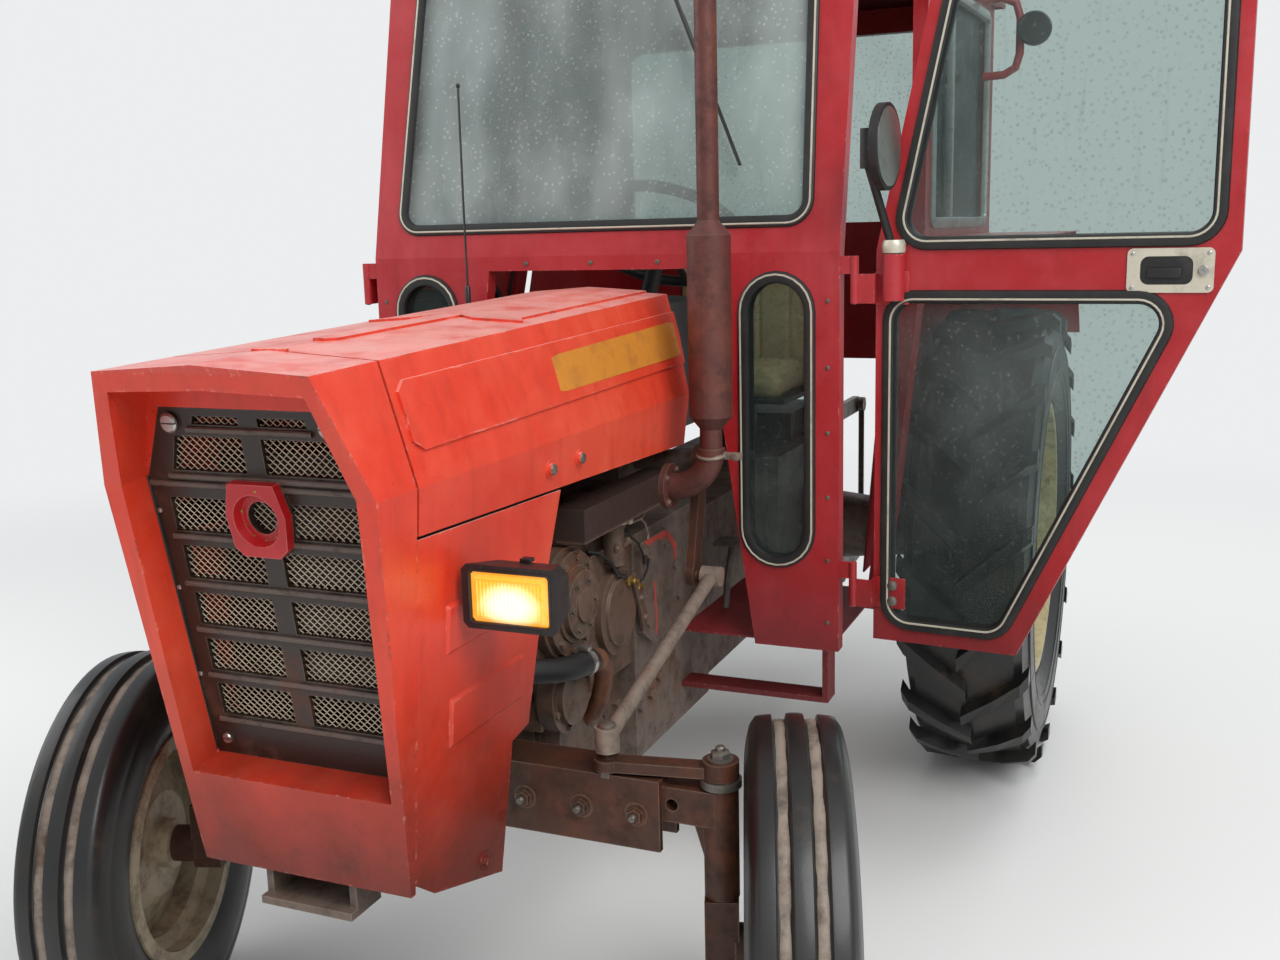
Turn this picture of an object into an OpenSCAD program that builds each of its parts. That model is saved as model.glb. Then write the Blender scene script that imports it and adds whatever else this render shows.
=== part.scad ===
// Small farm tractor of about 1960 with a steel cab, its left door swung open and its front wheels
// steered to the left. Millimetres. X runs forward, Y to the left, Z up. Places are measured from the
// ground below the line between the two steering pivots, and the finished model is moved so that its
// origin lies on the drawbar's pin hole.

/* [Wheels] */
// Distance from the steering pivots back to the rear axle
wheelbase = 1868; // [1750:2:2100]
// Distance between the middles of the rear tyres
rear_track = 1364; // [1300:4:1500]
// Distance between the two steering pivots
pivot_spread = 1030; // [1000:5:1060]
// Distance from a steering pivot out to the middle of its tyre
wheel_offset = 118; // [117:1:130]
// Outer diameter of a front tyre
front_tyre_d = 735; // [700:1:780]
// Width of a front tyre
front_tyre_w = 165; // [150:1:185]
// Diameter of the front rim's bead seat
front_rim_d = 406; // [400:1:420]
// Outer diameter of a rear tyre over its lugs
rear_tyre_d = 1260; // [1220:2:1300]
// Width of a rear tyre
rear_tyre_w = 315; // [290:1:330]
// Diameter of the rear rim's bead seat
rear_rim_d = 711; // [700:1:720]
// Height of the rear tyre's lugs
lug_h = 28; // [20:1:34]
// Number of lugs on one half of a rear tyre
lug_count = 20; // [16:1:24]
// Thickness of a tyre's wall
tyre_wall = 20; // [14:1:26]
// Thickness of the wheel discs
disc_t = 8; // [5:0.5:12]

/* [Steering] */
// Angle to the left at which the front wheels stand
steer_rest = 18; // [0:1:22]
// Radius of the steering pivot pins
kingpin_r = 17; // [14:0.5:18]
// Wall of the tube round a steering pivot pin
kingpin_wall = 11; // [8:0.5:12]
// Height of the lower end of that tube
kingpin_low = 455; // [440:1:480]
// Height of its upper end
kingpin_high = 653; // [652:1:665]
// Length of a steering arm
steer_arm_l = 182; // [160:1:190]
// Angle by which a steering arm leans back when the wheels point ahead
steer_arm_back = 8.5; // [0:0.5:15]
// Thickness of the steering arms
steer_arm_t = 18; // [14:1:22]
// Radius of the front stub axles
stub_r = 20; // [16:1:24]
// Length of the drop arms
drop_arm_l = 230; // [200:1:240]
// Distance of the drop arms' shaft behind the steering pivots
drop_shaft_back = 644; // [620:1:660]
// Height of the drop arms' shaft
drop_shaft_z = 1030; // [1015:1:1040]
// Distance of a drop arm's middle from the midplane
drop_arm_y = 252; // [245:1:262]
// Thickness of a drop arm
drop_arm_t = 18; // [12:1:22]
// Radius of the drag links
drag_link_r = 13; // [9:1:16]
// Radius of the sockets at their ends
socket_r = 20; // [17:1:22]
// Diameter of the steering wheel
steering_wheel_d = 420; // [380:5:440]

/* [Front axle] */
// Height of the axle beam's top
beam_top = 648; // [630:1:660]
// Depth of the axle beam
beam_h = 118; // [100:1:130]
// Width of the axle beam, front to back
beam_w = 84; // [70:1:100]
// Wall of the axle beam
beam_t = 12; // [8:1:14]
// Length of the axle beam
beam_l = 854; // [800:2:880]
// Side of the square arms that slide in the beam
arm_side = 58; // [50:1:62]
// Radius of the axle's pivot pin
axle_pin_r = 21; // [16:1:25]

/* [Bonnet and nose] */
// Height of the bonnet's upper edge at the brow of the nose
brow_z = 1331; // [1310:1:1345]
// Half width there
brow_hw = 173; // [160:1:180]
// Height of the ridge at the front
ridge_z = 1166; // [1150:1:1180]
// Half width at the ridge
ridge_hw = 224; // [215:1:230]
// Height of the nose's lower edge
nose_low_z = 576; // [560:1:600]
// Half width of the nose's lower edge
nose_low_hw = 182; // [170:1:190]
// Place of the brow ahead of the steering pivots
brow_x = 509; // [500:1:530]
// Place of the ridge there
ridge_x = 456; // [445:1:480]
// Place of the nose's lower edge
nose_low_x = 373; // [366:1:385]
// Place of the seam between nose and bonnet
seam_x = 362; // [355:1:364]
// Length of the bonnet
bonnet_l = 1040; // [1000:5:1045]
// Rise of the bonnet's upper edge over its length
bonnet_rise = 34; // [20:1:45]
// Height of the bonnet's lower edge at the seam
bonnet_low_front = 1100; // [1090:1:1110]
// Height of its lower edge at the rear
bonnet_low_rear = 1063; // [1055:1:1075]
// Rise of the bonnet's middle above its upper edges
crown = 12; // [6:1:18]
// Thickness of the sheet steel
sheet_t = 3; // [2:0.5:4]
// Gap at seams between panels
seam_gap = 5; // [4:0.5:8]
// Half width of the grille at its top
grille_top_hw = 148; // [140:1:150]
// Height of the grille's top
grille_top_z = 1275; // [1270:1:1282]
// Height of the grille's foot
grille_low_z = 729; // [720:1:740]
// Thickness of the grille
grille_t = 16; // [10:1:20]
// Depth of the grille behind the face of the nose
grille_inset = 52; // [40:1:56]
// Number of rows of openings in the grille below its ridge
grille_rows = 5; // [3:1:5]
// Distance from one of those rows to the next
grille_pitch = 73.5; // [70:0.5:75]
// Height of an opening in the grille
grille_window_h = 51; // [40:1:54]
// Height of the foot of the lowest row
grille_window_low = 797; // [780:1:805]
// Width of a lamp's lens
lens_w = 124; // [110:1:136]
// Height of a lamp's lens
lens_h = 74; // [64:1:84]
// Length of a lamp's housing
lamp_l = 72; // [60:1:90]

/* [Engine and transmission] */
// Length of the engine block
engine_l = 400; // [380:5:410]
// Half width of the engine block
engine_hw = 150; // [130:1:160]
// Height of the engine's sump
sump_z = 470; // [450:1:500]
// Height of the cylinder head's top
head_z = 1010; // [990:1:1030]
// Half width of the clutch housing
clutch_hw = 158; // [140:1:160]
// Half width of the gearbox
gearbox_hw = 135; // [120:1:145]
// Half width of the rear axle's middle housing
centre_hw = 165; // [150:1:175]
// Largest radius of the axle tubes
axle_tube_r = 105; // [90:1:115]
// Radius of the axle tubes at the wheels
axle_end_r = 72; // [64:1:80]
// Distance from the midplane to the axle tubes' ends
axle_end_y = 520; // [505:1:530]
// Radius of the exhaust's silencer
silencer_r = 42; // [36:1:50]
// Radius of the exhaust's pipes
pipe_r = 21; // [18:1:25]
// Height of the tail pipe's end
tailpipe_top = 2230; // [2000:10:2300]

/* [Cab] */
// Distance of the cab's front wall behind the steering pivots
cab_back = 688; // [680:1:700]
// Half width of the cab's front wall
cab_hw = 528; // [520:1:535]
// Angle at which the cab's sides spread toward the rear
cab_flare = 2.8; // [0:0.1:4]
// Length of the cab's sides
cab_l = 1450; // [1400:5:1500]
// Height of the cab's lower edge
cab_low_z = 640; // [620:1:660]
// Height of the belt line, where the windscreen starts to lean back
belt_z = 1445; // [1430:1:1460]
// Height of the roof's underside
roof_z = 2092; // [2060:2:2120]
// Slope of the windscreen, back per unit up
screen_slope = 0.2165; // [0.15:0.005:0.25]
// Thickness of the cab's front and rear walls
wall_t = 35; // [28:1:42]
// Thickness of the side frames
side_t = 35; // [28:1:40]
// Half width of the front wall's opening at its foot
tunnel_low_hw = 351; // [340:1:360]
// Half width of that opening at its top
tunnel_top_hw = 241; // [236:1:250]
// Height of that opening's top
tunnel_top_z = 1415; // [1410:1:1425]
// Distance of the narrow front windows from the midplane
slot_y = 400; // [390:1:410]
// Width of a narrow front window
slot_w = 146; // [130:1:150]
// Height of a narrow front window's foot
slot_low_z = 815; // [800:1:830]
// Height of its top
slot_top_z = 1402; // [1385:1:1405]
// Height of the shelf over the rear wheels
shelf_z = 1460; // [1440:1:1480]
// Distance of the shelf's outer edge from the midplane
shelf_y = 840; // [800:2:860]
// Distance of the wheel housings from the midplane
housing_y = 486; // [480:1:490]
// Thickness of the cab's plates
plate_t = 4; // [3:0.5:6]
// Height of the roof's shell
roof_h = 112; // [90:1:130]
// Thickness of the window panes
glass_t = 6; // [4:0.5:8]
// Play between a pane and the edge that holds it
pane_play = 0.3; // [0.2:0.1:0.5]

/* [Doors] */
// Angle to which the left door stands open
door_open = 92; // [85:1:95]
// Place of a door's front edge behind the cab's front face
door_front = 40; // [38:1:48]
// Width of a door above the belt line, front to back
door_w = 639; // [600:1:660]
// Width of a door at its foot
door_foot_w = 284; // [260:1:320]
// Height of a door's foot
door_low_z = 668; // [655:1:690]
// Height at which a door's rear edge turns upright
door_knee_z = 1435; // [1425:1:1445]
// Thickness of a door
door_t = 28; // [22:1:32]
// Distance of the hinge axis outside the door's outer face
hinge_out = 26; // [22:1:30]
// Place of the hinge axis behind the cab's front face
hinge_back = 5; // [2:0.5:8]
// Radius of the hinge barrels
hinge_r = 8; // [6:0.5:9]
// Width of a door's frame round its windows
door_frame = 40; // [34:1:46]
// Diameter of the mirror
mirror_d = 156; // [150:2:180]

/* [Hitch] */
// Place of the drawbar's pin hole behind the rear axle
pin_back = 608; // [560:2:640]
// Height of the drawbar's upper face
drawbar_z = 410; // [390:1:430]
// Thickness of the drawbar
drawbar_t = 28; // [24:1:34]
// Width of the drawbar
drawbar_w = 64; // [56:1:76]
// Radius of the drawbar's pin hole
pin_r = 13.5; // [12:0.5:16]
// Radius of the power take-off shaft
pto_r = 17.46; // [17.46:0.01:17.47]
// Height of the power take-off shaft
pto_z = 590; // [570:1:620]
// Length of a lower link between its pivots
lower_link_l = 790; // [740:5:820]
// Radius of the balls' bores at the lower links' ends
link_bore_r = 11.2; // [11.1:0.1:11.3]
// Radius of the top link bracket's bore
top_bore_r = 9.7; // [9.6:0.1:9.8]
// Length of a lift arm
lift_arm_l = 280; // [250:5:300]

/* [Hidden] */

fine = 48;
run_play = 0.3;
front_r = front_tyre_d / 2;
rear_r = rear_tyre_d / 2;
pivot_y = pivot_spread / 2;
rear_y = rear_track / 2;
cab_x = -cab_back;
origin = [-wheelbase - pin_back, 0, drawbar_z];

// The whole model is drawn from the ground below the steering pivots and moved to its own origin
module placed() {
    translate(-origin) children();
}

module both_sides() {
    children();
    mirror([0, 1, 0]) children();
}

module on_side(side) {
    mirror([0, side < 0 ? 1 : 0, 0]) children();
}

// Points of an outline whose corners are rounded by arcs
function unit(v) = v / norm(v);
function corner_arc(a, b, c, r, steps) =
    let (u = unit(a - b), v = unit(c - b), half = acos(u * v) / 2,
        reach = r / tan(half), mid = b + unit(u + v) * r / sin(half),
        p = b + u * reach - mid, q = b + v * reach - mid,
        turn = atan2(p[0] * q[1] - p[1] * q[0], p * q))
    [for (i = [0:steps]) mid + [p[0] * cos(turn * i / steps) - p[1] * sin(turn * i / steps),
        p[0] * sin(turn * i / steps) + p[1] * cos(turn * i / steps)]];
function rounded(points, r, steps = 4) =
    let (n = len(points))
    [for (i = [0:n - 1])
        each corner_arc(points[(i + n - 1) % n], points[i], points[(i + 1) % n], r, steps)];

// An outline moved in by a distance, for outlines that turn left
function line_cut(p, u, q, v) = p + u * ((q - p)[0] * v[1] - (q - p)[1] * v[0]) / (u[0] * v[1] - u[1] * v[0]);
function inset(points, d) =
    let (n = len(points))
    [for (i = [0:n - 1])
        let (a = points[(i + n - 1) % n], b = points[i], c = points[(i + 1) % n],
            u = unit(b - a), v = unit(c - b))
        line_cut(a + [-u[1], u[0]] * d, u, c + [-v[1], v[0]] * d, v)];

// The cap of a ring of n points, as a ladder of triangles between its two halves
function ring_cap(n) =
    concat([[0, 1, n - 1]],
        [for (i = [1:ceil(n / 2) - 1]) if (i + 1 < n - i) [i, i + 1, n - i]],
        [for (i = [1:ceil(n / 2) - 1]) if (i + 1 < n - i - 1) [i + 1, n - i - 1, n - i]]);

// A closed skin over a row of rings that have the same number of points, the first of which runs
// clockwise seen from outside
module skin(rings) {
    n = len(rings[0]);
    m = len(rings);
    points = [for (ring = rings) each ring];
    walls = [for (k = [0:m - 2]) for (i = [0:n - 1])
        let (j = (i + 1) % n, a = k * n + i, b = k * n + j, c = a + n, d = b + n)
        each [[a, c, b], [b, c, d]]];
    near = ring_cap(n);
    far = [for (t = near) [for (i = [2:-1:0]) (m - 1) * n + t[i]]];
    polyhedron(points, concat(walls, near, far));
}

// A plate that stands across the tractor, drawn in Y and Z, its front face at x
module across(x, t) {
    translate([x - t, 0, 0]) rotate([90, 0, 90]) linear_extrude(t) children();
}

// A plate that stands along the tractor, drawn in X and Z, between two distances from the midplane
module along(y0, y1) {
    translate([0, y1, 0]) rotate([90, 0, 0]) linear_extrude(y1 - y0) children();
}

// A rod between two points
module rod(a, b, r) {
    d = b - a;
    translate(a) rotate([0, acos(d[2] / norm(d)), atan2(d[1], d[0])]) cylinder(r = r, h = norm(d), $fn = fine);
}

// The frame of a cab side: X back along the side from its front corner, Y in, Z up
module cab_side(side) {
    on_side(side) translate([cab_x, cab_hw, 0]) rotate([0, 0, 180 - cab_flare]) children();
}

// A plate in that frame, drawn in X and Z, its outer face at depth y
module side_plate(y, t) {
    translate([0, y + t, 0]) rotate([90, 0, 0]) linear_extrude(t) children();
}

// Engine, exhaust and cooling

engine_front = -100;
engine_rear = engine_front - engine_l;
clutch_rear = -930;
centre_rear = -wheelbase - 225;
centre_l = 613;
gearbox_rear = centre_rear + centre_l;
exhaust_x = -551;
exhaust_y = 310;
elbow_r = 80;
elbow_top = 1075;

module engine() placed() color("dimgray") {
    block_mid = 640;
    sump_step = 30;
    translate([engine_rear, -engine_hw, block_mid]) cube([engine_l, 2 * engine_hw, head_z - block_mid - 110]);
    translate([engine_rear, -engine_hw + sump_step, sump_z])
        cube([engine_l - sump_step, 2 * (engine_hw - sump_step), block_mid - sump_z]);
    translate([engine_rear, -engine_hw + 20, head_z - 110]) cube([engine_l, 2 * engine_hw - 40, 110]);
    translate([engine_rear + 40, -90, head_z]) cube([engine_l - 80, 180, 48]);
    round_cover();
    lower_cover();
    filler();
    timing_case();
    manifold();
}

cover_x = -178;
cover_z = 855;
cover_r = 100;

// Steps of the round cover; columns: share of its radius, distance out from the block
cover_steps = [[1, 22], [0.93, 34], [0.68, 40], [0.6, 52], [0.3, 58]];

module bolt_ring(count, r, start, head_r, head_h) {
    for (i = [0:count - 1]) rotate([0, 0, start + i * 360 / count]) translate([r, 0, -1])
        cylinder(r = head_r, h = head_h + 1, $fn = 6);
}

module round_cover() {
    translate([cover_x, engine_hw, cover_z]) rotate([-90, 0, 0]) {
        for (row = cover_steps) translate([0, 0, -1]) cylinder(r = row[0] * cover_r, h = row[1] + 1, $fn = fine);
        translate([0, 0, 34]) bolt_ring(10, 0.82 * cover_r, 9, 7, 7);
        translate([0, 0, 52]) bolt_ring(6, 0.46 * cover_r, 0, 6, 6);
    }
    translate([cover_x + 18, engine_hw - 1, cover_z - 158]) rotate([-90, 0, 0]) {
        cylinder(r = 72, h = 31, $fn = fine);
        cylinder(r = 56, h = 43, $fn = fine);
        translate([0, 0, 31]) bolt_ring(6, 64, 20, 6, 6);
    }
}

// The smooth round boss behind the round cover, and the small cover below it
module lower_cover() {
    translate([-412, engine_hw - 1, 772]) rotate([-90, 0, 0]) {
        cylinder(r = 84, h = 17, $fn = fine);
        cylinder(r1 = 74, r2 = 66, h = 24, $fn = fine);
    }
    translate([cover_x - 150, engine_hw - 31, 560]) cube([180, 42, 90]);
    for (x = [-470:60:-350]) translate([x, engine_hw - 31, 560]) rotate([-90, 0, 0]) cylinder(r = 9, h = 14, $fn = 6);
}

// The oil filler's neck and cap in front of the head
module filler() translate([-400, engine_hw + 12, -46]) {
    translate([0, 0, cover_z + 60]) cylinder(r = 22, h = 70, $fn = fine);
    translate([0, 0, cover_z + 130]) cylinder(r1 = 22, r2 = 31, h = 12, $fn = fine);
    translate([0, 0, cover_z + 142]) cylinder(r = 31, h = 9, $fn = fine);
    translate([0, 0, cover_z + 151]) cylinder(r = 20, h = 16, $fn = fine);
    translate([0, 0, cover_z + 167]) cylinder(r = 27, h = 8, $fn = fine);
    translate([-8, -40, cover_z + 90]) cube([16, 40, 20]);
}

case_hw = 94;

module timing_case() {
    case_t = 46;
    pulley_r = 78;
    translate([engine_front, -case_hw, 700]) cube([case_t, 2 * case_hw, 230]);
    translate([engine_front - 52, -65, head_z - 40]) cube([44, 50, 160]);
    translate([engine_front + case_t, 0, support_top + pulley_r + 8]) rotate([0, 90, 0])
        cylinder(r = pulley_r, h = 34, $fn = fine);
}

manifold_y = 186;
manifold_hw = 28;
manifold_z = elbow_top - elbow_r;

module manifold() {
    translate([exhaust_x - 34, manifold_y - manifold_hw, manifold_z - manifold_hw - 2])
        cube([engine_front - 34 - exhaust_x, 2 * manifold_hw, 2 * manifold_hw + 4]);
    for (x = [engine_rear + 60:110:engine_front - 60])
        translate([x, engine_hw - 30, manifold_z - 26]) cube([52, manifold_y - engine_hw + 10, 52]);
}

module exhaust() placed() color("saddlebrown") {
    body_low = 1112;
    body_high = 1508;
    cone_h = 26;
    translate([exhaust_x, exhaust_y, 0]) {
        translate([0, 0, elbow_top]) cylinder(r = pipe_r, h = body_low - elbow_top, $fn = fine);
        translate([0, 0, body_low]) cylinder(r1 = pipe_r, r2 = silencer_r, h = cone_h, $fn = fine);
        translate([0, 0, body_low + cone_h]) cylinder(r = silencer_r, h = body_high - body_low - 2 * cone_h, $fn = fine);
        translate([0, 0, body_high - cone_h]) cylinder(r1 = silencer_r, r2 = pipe_r, h = cone_h, $fn = fine);
        translate([0, 0, body_high]) difference() {
            cylinder(r = pipe_r, h = tailpipe_top - body_high, $fn = fine);
            translate([0, 0, 60]) cylinder(r = pipe_r - 2.5, h = tailpipe_top - body_high, $fn = fine);
        }
    }
    translate([exhaust_x, exhaust_y - elbow_r, elbow_top]) rotate([90, 0, 90])
        rotate([0, 0, -90]) rotate_extrude(angle = 90, $fn = fine) translate([elbow_r, 0]) circle(r = pipe_r + 5);
    translate([exhaust_x, exhaust_y - elbow_r, manifold_z]) rotate([90, 0, 0])
        cylinder(r = pipe_r + 5, h = exhaust_y - elbow_r - manifold_y - manifold_hw, $fn = fine);
}

module radiator() placed() color("black") {
    core_x = 210;
    hose_r = 22;
    translate([core_x, -175, 720]) cube([70, 350, 380]);
    translate([core_x - 8, -165, 1100]) cube([86, 330, 90]);
    translate([core_x - 8, -165, support_top + run_play]) cube([86, 330, 720.1 - support_top]);
    rod([core_x + 5, case_hw + hose_r + 2, 704], [engine_front + run_play, case_hw + hose_r + 2, 704], hose_r);
    rod([core_x + 5, -40, 1130], [engine_front - 8 + run_play, -40, 1130], hose_r);
}

// The large bolted plate on the clutch housing's left side; X and Z of its corners and of its bolts
clutch_plate = [[-506, 884], [-508, 700], [-560, 664], [-660, 664], [-738, 716], [-704, 836], [-650, 884]];
clutch_plate_bolts = [[-532, 858], [-632, 858], [-680, 800], [-700, 728], [-530, 716]];
flange_bolts = [[-516, 540], [-570, 548], [-616, 572], [-652, 610]];

module clutch_cover() {
    along(clutch_hw - 1, clutch_hw + 16) polygon(clutch_plate);
    for (b = clutch_plate_bolts) translate([b[0], clutch_hw + 15, b[1]]) rotate([-90, 0, 0])
        cylinder(r = 10, h = 9, $fn = 6);
    for (b = flange_bolts) translate([b[0], clutch_hw - 1, b[1]]) rotate([-90, 0, 0])
        cylinder(r = 12, h = 12, $fn = 6);
}

module transmission() placed() color("gray") {
    clutch_cover();
    clutch_low = 430;
    clutch_high = 900;
    translate([clutch_rear, -clutch_hw, clutch_low]) cube([engine_rear - clutch_rear, 2 * clutch_hw, clutch_high - clutch_low]);
    translate([gearbox_rear, -gearbox_hw, 450]) cube([clutch_rear - gearbox_rear, 2 * gearbox_hw, 410]);
    steering_box();
}

module steering_box() {
    translate([-drop_shaft_back - 180, -110, 900]) cube([270, 220, dash_low - run_play - 900]);
    translate([-drop_shaft_back, -drop_arm_y + drop_arm_t / 2 + run_play, drop_shaft_z]) rotate([-90, 0, 0])
        cylinder(r = 22, h = 2 * (drop_arm_y - drop_arm_t / 2 - run_play), $fn = fine);
}

housing_top = 890;
housing_low = 420;
lift_cover_hw = 120;

module rear_axle() placed() color("gray") {
    translate([centre_rear, -centre_hw, housing_low])
        cube([centre_l, 2 * centre_hw, housing_top - housing_low]);
    translate([centre_rear + 40, -lift_cover_hw, housing_top]) cube([300, 2 * lift_cover_hw, 80]);
    both_sides() translate([-wheelbase, centre_hw, rear_r]) rotate([-90, 0, 0]) {
        cylinder(r1 = axle_tube_r, r2 = axle_end_r, h = axle_end_y - centre_hw - 40, $fn = fine);
        translate([0, 0, axle_end_y - centre_hw - 40]) cylinder(r = axle_end_r + 14, h = 40, $fn = fine);
    }
    both_sides() link_pivot_bracket();
    top_link_bracket();
}

// Front axle and its support

pivot_z = beam_top - beam_h / 2;
support_top = 680;

module front_support() placed() color("gray") {
    boss_r = axle_pin_r + 22;
    difference() {
        union() {
            translate([engine_front, -125, beam_top + 8]) cube([seam_x - 20 - engine_front, 250, support_top - beam_top - 8]);
            for (x = [-beam_w / 2 - 4 - 44, beam_w / 2 + 4]) {
                translate([x, 0, pivot_z]) rotate([0, 90, 0]) cylinder(r = boss_r, h = 44, $fn = fine);
                translate([x, -boss_r, pivot_z]) cube([44, 2 * boss_r, support_top - pivot_z]);
            }
        }
        translate([-200, 0, pivot_z]) rotate([0, 90, 0]) cylinder(r = axle_pin_r, h = 400, $fn = fine);
    }
    translate([-beam_w / 2 - 60, 0, pivot_z]) rotate([0, 90, 0]) cylinder(r = axle_pin_r, h = beam_w + 120, $fn = fine);
    tow_bracket();
}

module tow_bracket() {
    plate_x = seam_x - 60;
    translate([plate_x, -80, 522]) cube([75, 160, 12]);
    for (y = [-80, 68]) translate([plate_x, y, 522]) cube([seam_x - run_play - plate_x, 12, 150]);
}

beam_bolts = [190, 292, 388];

module axle_beam() placed() color("sienna") {
    axle_arms();
    for (side = [-1, 1], y = beam_bolts) on_side(side) translate([beam_w / 2 - 1, y, pivot_z]) rotate([0, 90, 0]) {
        cylinder(r = 19, h = 4, $fn = fine);
        cylinder(r = 13, h = 15, $fn = 6);
    }
    difference() {
        translate([-beam_w / 2, -beam_l / 2, beam_top - beam_h]) cube([beam_w, beam_l, beam_h]);
        translate([-beam_w / 2 + beam_t, -beam_l, beam_top - beam_h - beam_t]) cube([beam_w - 2 * beam_t, 2 * beam_l, beam_h]);
        translate([-beam_w, 0, pivot_z]) rotate([0, 90, 0])
            cylinder(r = axle_pin_r + run_play, h = 2 * beam_w, $fn = fine);
    }
}

arm_hole_r = 10;

module axle_arms() both_sides() {
    arm_top = beam_top - beam_t + 0.1;
    difference() {
        union() {
            translate([-arm_side / 2, beam_l / 2 - 230, arm_top - arm_side]) cube([arm_side, pivot_y - beam_l / 2 + 230, arm_side]);
            translate([0, pivot_y, kingpin_low])
                cylinder(r = kingpin_r + kingpin_wall, h = kingpin_high - kingpin_low, $fn = fine);
            across(6, 12) polygon([[pivot_y - 46, arm_top - arm_side - 1], [pivot_y - 12, kingpin_low + 12], [pivot_y, kingpin_low + 12],
                [pivot_y, arm_top - 10], [pivot_y - 46, arm_top - 10]]);
        }
        translate([-arm_side, pivot_y - 72, arm_top - arm_side / 2]) rotate([0, 90, 0])
            cylinder(r = arm_hole_r, h = 2 * arm_side, $fn = fine);
        translate([0, pivot_y, kingpin_low - 10])
            cylinder(r = kingpin_r + run_play, h = kingpin_high - kingpin_low + 20, $fn = fine);
    }
}

// The frame of a front wheel's knuckle, with the wheel turned as it stands: origin on the ground below
// the steering pivot, and Y toward the wheel
module knuckle_frame(side) {
    translate([0, side * pivot_y, 0]) rotate([0, 0, steer_rest]) on_side(side) children();
}

arm_z = kingpin_high + 1;
stud_h = 12;

module knuckle(side) placed() color("sienna") knuckle_frame(side) {
    translate([0, 0, front_r - 36]) cylinder(r = kingpin_r, h = arm_z + steer_arm_t - front_r + 40, $fn = fine);
    translate([-28, -28, front_r - 36]) cube([56, 54, kingpin_low - 1 - front_r + 36]);
    translate([0, 20, front_r]) rotate([-90, 0, 0]) cylinder(r = stub_r, h = wheel_offset - 21 + front_hub_out, $fn = fine);
    translate([0, 20, front_r]) rotate([-90, 0, 0])
        cylinder(r = stub_r + 14, h = wheel_offset - 20 - front_hub_in - run_play, $fn = fine);
    rotate([0, 0, -90 - steer_arm_back]) {
        translate([0, -17, arm_z]) cube([steer_arm_l, 34, steer_arm_t]);
        translate([0, 0, arm_z]) cylinder(r = kingpin_r + 12, h = steer_arm_t + 10, $fn = fine);
        translate([20, -34, arm_z + steer_arm_t / 2]) rotate([-90, 0, 0]) cylinder(r = 9, h = 18, $fn = 6);
        translate([steer_arm_l, 0, arm_z]) cylinder(r = 22, h = steer_arm_t, $fn = fine);
        translate([steer_arm_l, 0, arm_z + steer_arm_t]) cylinder(r = 9, h = stud_h, $fn = fine);
    }
}

module knuckle_left() knuckle(1);
module knuckle_right() knuckle(-1);

front_hub_in = 50;
front_hub_out = 40;

// Where a drag link's two ends are when the wheels stand as they are parked
function ball_at(side) =
    let (a = side * (-90 - steer_arm_back) + steer_rest)
    [steer_arm_l * cos(a), side * pivot_y + steer_arm_l * sin(a), arm_z + steer_arm_t + stud_h + run_play + socket_r];
function straight_x() = -steer_arm_l * sin(steer_arm_back);
function drop_swing(side) = asin((ball_at(side)[0] - straight_x()) / drop_arm_l);
function drop_end(side) =
    [-drop_shaft_back + drop_arm_l * sin(drop_swing(side)),
     side * (drop_arm_y + drop_arm_t / 2 + stud_h + run_play + socket_r),
     drop_shaft_z - drop_arm_l * cos(drop_swing(side))];

module drop_arm(side) placed() color("sienna")
    translate([-drop_shaft_back, side * drop_arm_y, drop_shaft_z]) rotate([0, -drop_swing(side), 0]) on_side(side) {
        translate([0, -drop_arm_t / 2, 0]) rotate([-90, 0, 0]) cylinder(r = 34, h = drop_arm_t, $fn = fine);
        translate([-19, -drop_arm_t / 2, -drop_arm_l]) cube([38, drop_arm_t, drop_arm_l]);
        translate([0, -drop_arm_t / 2, -drop_arm_l]) rotate([-90, 0, 0]) cylinder(r = 23, h = drop_arm_t, $fn = fine);
        translate([0, drop_arm_t / 2, -drop_arm_l]) rotate([-90, 0, 0]) cylinder(r = 9, h = stud_h, $fn = fine);
    }

module drop_arm_left() drop_arm(1);
module drop_arm_right() drop_arm(-1);

module drag_link(side) placed() color("rosybrown") {
    a = ball_at(side);
    b = drop_end(side);
    translate([a[0], a[1], a[2] - socket_r]) cylinder(r = socket_r, h = 2 * socket_r, $fn = fine);
    translate([b[0], b[1] - socket_r, b[2]]) rotate([-90, 0, 0]) cylinder(r = socket_r, h = 2 * socket_r, $fn = fine);
    rod(a, b, drag_link_r);
}

module drag_link_left() drag_link(1);
module drag_link_right() drag_link(-1);

// Wheels: each is drawn round the Y axis with its outer face toward +Y

// Section of a tyre, in distance from its middle and radius; columns: share of the half width, share of
// the height from bead to tread
carcass = [[0.78, 0], [0.78, 0.135], [0.97, 0.34], [1, 0.5], [0.985, 0.66], [0.9, 0.9], [0.78, 0.965], [0, 1]];

function rim_width(w) = carcass[0][0] * w + 2 * run_play;
function tyre_half(w, r0, r1) = [for (p = carcass) [p[0] * w / 2, r0 + p[1] * (r1 - r0)]];
function tyre_outline(w, r0, r1) =
    let (half = tyre_half(w, r0, r1), n = len(half))
    concat(half, [for (i = [n - 2:-1:0]) [-half[i][0], half[i][1]]]);

module tyre_body(w, rim_r, tread_r) {
    revolved() difference() {
        polygon(tyre_outline(w, rim_r + run_play, tread_r));
        polygon(tyre_outline(w - 2 * tyre_wall, rim_r - 10, tread_r - tyre_wall));
    }
}

// A lug in cylinder measures; columns: distance from the middle as a share of the half width, sweep back
// in degrees, drop of its top below the tread's top, drop of its foot below the tyre's body
lug_table = [[-0.06, 0, 0, 10], [0.45, 6.5, 1, 10], [0.88, 12, 7, 12], [1.0, 13.6, 26, 30]];
lug_top_half = 1.75;
lug_foot_half = 2.5;

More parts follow.
